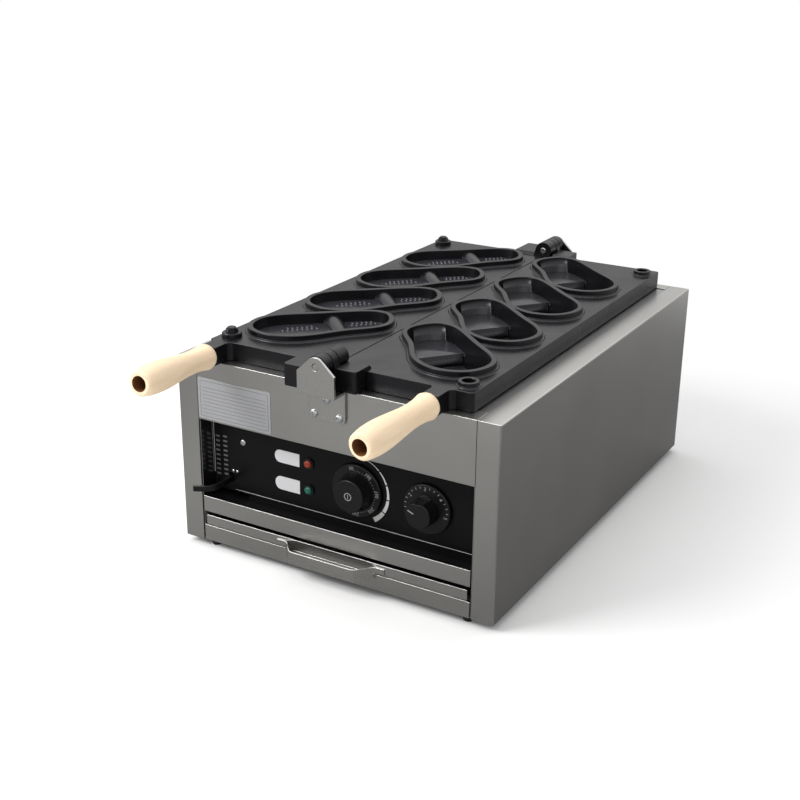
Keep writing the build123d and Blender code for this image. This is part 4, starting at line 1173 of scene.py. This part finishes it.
def make_floor(tone):
    """Matt floor that keeps the object's soft shadow and turns to white beyond it."""
    shape = bmesh.new()
    bmesh.ops.create_grid(shape, x_segments=1, y_segments=1, size=FLOOR_REACH)
    mesh = as_mesh("floor", shape)
    made, tree, place = blank("Pale studio floor")
    away = add(tree, "VectorMath", {"Vector": place}, operation="LENGTH")
    camera, reflected, either = ray_kinds(tree)
    start = add(tree, "Mix", {0: camera, 2: OTHER_FADE, 3: CAMERA_FADE})
    end = add(tree, "Math", {0: start, 1: FADE}, operation="ADD")
    fade = add(tree, "MapRange", {
        "Value": away.outputs["Value"], "From Min": start, "From Max": end,
    }, interpolation_type="SMOOTHSTEP")
    share = add(tree, "Math", {0: either, 1: fade}, operation="MULTIPLY")
    # What the steel and the coating reflect of the floor is darker, most of all at its sides.
    # This darker tone is painted shade, seen only in reflections.
    across = add(tree, "SeparateXYZ", {"Vector": place})
    side = add(tree, "MapRange", {
        "Value": across.outputs["X"], "From Min": REFLECTED_START, "From Max": REFLECTED_END,
    })
    painted_reflection_shade = add(tree, "ValToRGB", {"Fac": side}, tuple(
        (position, scaled(tone, part)) for position, part in REFLECTED
    ))
    shade = add(tree, "Mix", {0: reflected, 6: rgba(tone), 7: painted_reflection_shade}, data_type="RGBA")
    matt = add(tree, "BsdfDiffuse", {"Color": shade.outputs[2]})
    glow = add(tree, "Emission", {"Color": (1, 1, 1, 1), "Strength": 1.0})
    mix = add(tree, "MixShader", {0: share, 1: matt, 2: glow})
    add(tree, "OutputMaterial", {"Surface": mix})
    mesh.materials.append(made)
    shown("floor", mesh)


def make_world(context):
    """Even light, with a room in reflections whose walls are darker than its ceiling."""
    world = bpy.data.worlds.new("Studio")
    context.scene.world = world
    world.use_nodes = True
    tree = world.node_tree
    tree.nodes.clear()
    camera, _, either = ray_kinds(tree)
    ambient = add(tree, "Background", {"Color": (1, 1, 1, 1), "Strength": 0.74})
    place = add(tree, "TexCoord")
    axes = add(tree, "SeparateXYZ", {"Vector": place.outputs["Generated"]})
    walls = add(tree, "MapRange", {
        "Value": axes.outputs["Z"], "From Min": 0.18, "From Max": 0.38,
        "To Min": 0.3, "To Max": 1.2,
    }, interpolation_type="SMOOTHSTEP")
    ceiling = add(tree, "MapRange", {
        "Value": axes.outputs["Z"], "From Min": 0.4, "From Max": 0.7, "To Max": 0.6,
    })
    above = add(tree, "Math", {0: walls, 1: ceiling}, operation="ADD")
    # The camera sees white instead.
    bright = add(tree, "Mix", {0: camera, 2: above, 3: 1.0})
    room = add(tree, "Background", {"Color": (1, 1, 1, 1), "Strength": bright})
    mix = add(tree, "MixShader", {0: either, 1: ambient, 2: room})
    add(tree, "OutputWorld", {"Surface": mix})


def make_lights():
    for name, place, size, power in SOFTBOXES:
        lamp = bpy.data.lights.new(name, "AREA")
        lamp.shape = "SQUARE"
        lamp.size = size
        lamp.energy = power
        made = shown(name, lamp)
        made.location = place
        aim = Vector(AIM) - Vector(place)
        made.rotation_euler = aim.to_track_quat("-Z", "Y").to_euler()


def make_camera(context):
    lens = bpy.data.cameras.new("Camera")
    lens.lens = FOCAL_LENGTH
    lens.sensor_width = SENSOR_WIDTH
    camera = shown("Camera", lens)
    turn = Matrix.Rotation(PAN, 4, "Z") @ Matrix.Rotation(pi / 2 - TILT, 4, "X")
    place = Matrix.Translation(CAMERA_PLACE)
    camera.matrix_world = place @ turn @ Matrix.Rotation(ROLL, 4, "Z")
    context.scene.camera = camera


class WAFFLE_OT_stage(Operator):
    """Pale floor, soft lights and the camera"""
    bl_idname = "waffle.stage"
    bl_label = "Stage"

    def execute(self, context):
        make_floor(settings(context)[1].floor)
        make_world(context)
        make_lights()
        make_camera(context)
        context.scene.view_settings.view_transform = "Standard"
        return {"FINISHED"}


class WAFFLE_PT_maker(Panel):
    bl_idname = "WAFFLE_PT_maker"
    bl_label = "Waffle maker"
    bl_space_type = "VIEW_3D"
    bl_region_type = "UI"
    bl_category = "Waffle maker"

    def draw(self, context):
        layout = self.layout
        for group in settings(context):
            column = layout.column()
            for name in group.__annotations__:
                column.prop(group, name)
        for operator in OPERATORS:
            layout.operator(operator.bl_idname)


OPERATORS = (
    WAFFLE_OT_cabinet, WAFFLE_OT_castings, WAFFLE_OT_hinges, WAFFLE_OT_handles,
    WAFFLE_OT_tray, WAFFLE_OT_type_plate, WAFFLE_OT_control_panel, WAFFLE_OT_dials,
    WAFFLE_OT_lamps, WAFFLE_OT_inside, WAFFLE_OT_stage,
)
CLASSES = (WaffleMakerSizes, WaffleMakerColours) + OPERATORS + (WAFFLE_PT_maker,)


def register():
    for item in CLASSES:
        bpy.utils.register_class(item)
    bpy.types.Scene.waffle_sizes = PointerProperty(type=WaffleMakerSizes)
    bpy.types.Scene.waffle_colours = PointerProperty(type=WaffleMakerColours)


def unregister():
    del bpy.types.Scene.waffle_colours
    del bpy.types.Scene.waffle_sizes
    for item in reversed(CLASSES):
        bpy.utils.unregister_class(item)


def main():
    register()
    bpy.ops.waffle.cabinet()
    bpy.ops.waffle.castings()
    bpy.ops.waffle.hinges()
    bpy.ops.waffle.handles()
    bpy.ops.waffle.tray()
    bpy.ops.waffle.type_plate()
    bpy.ops.waffle.control_panel()
    bpy.ops.waffle.dials()
    bpy.ops.waffle.lamps()
    bpy.ops.waffle.inside()
    bpy.ops.waffle.stage()


if __name__ == "__main__":
    main()
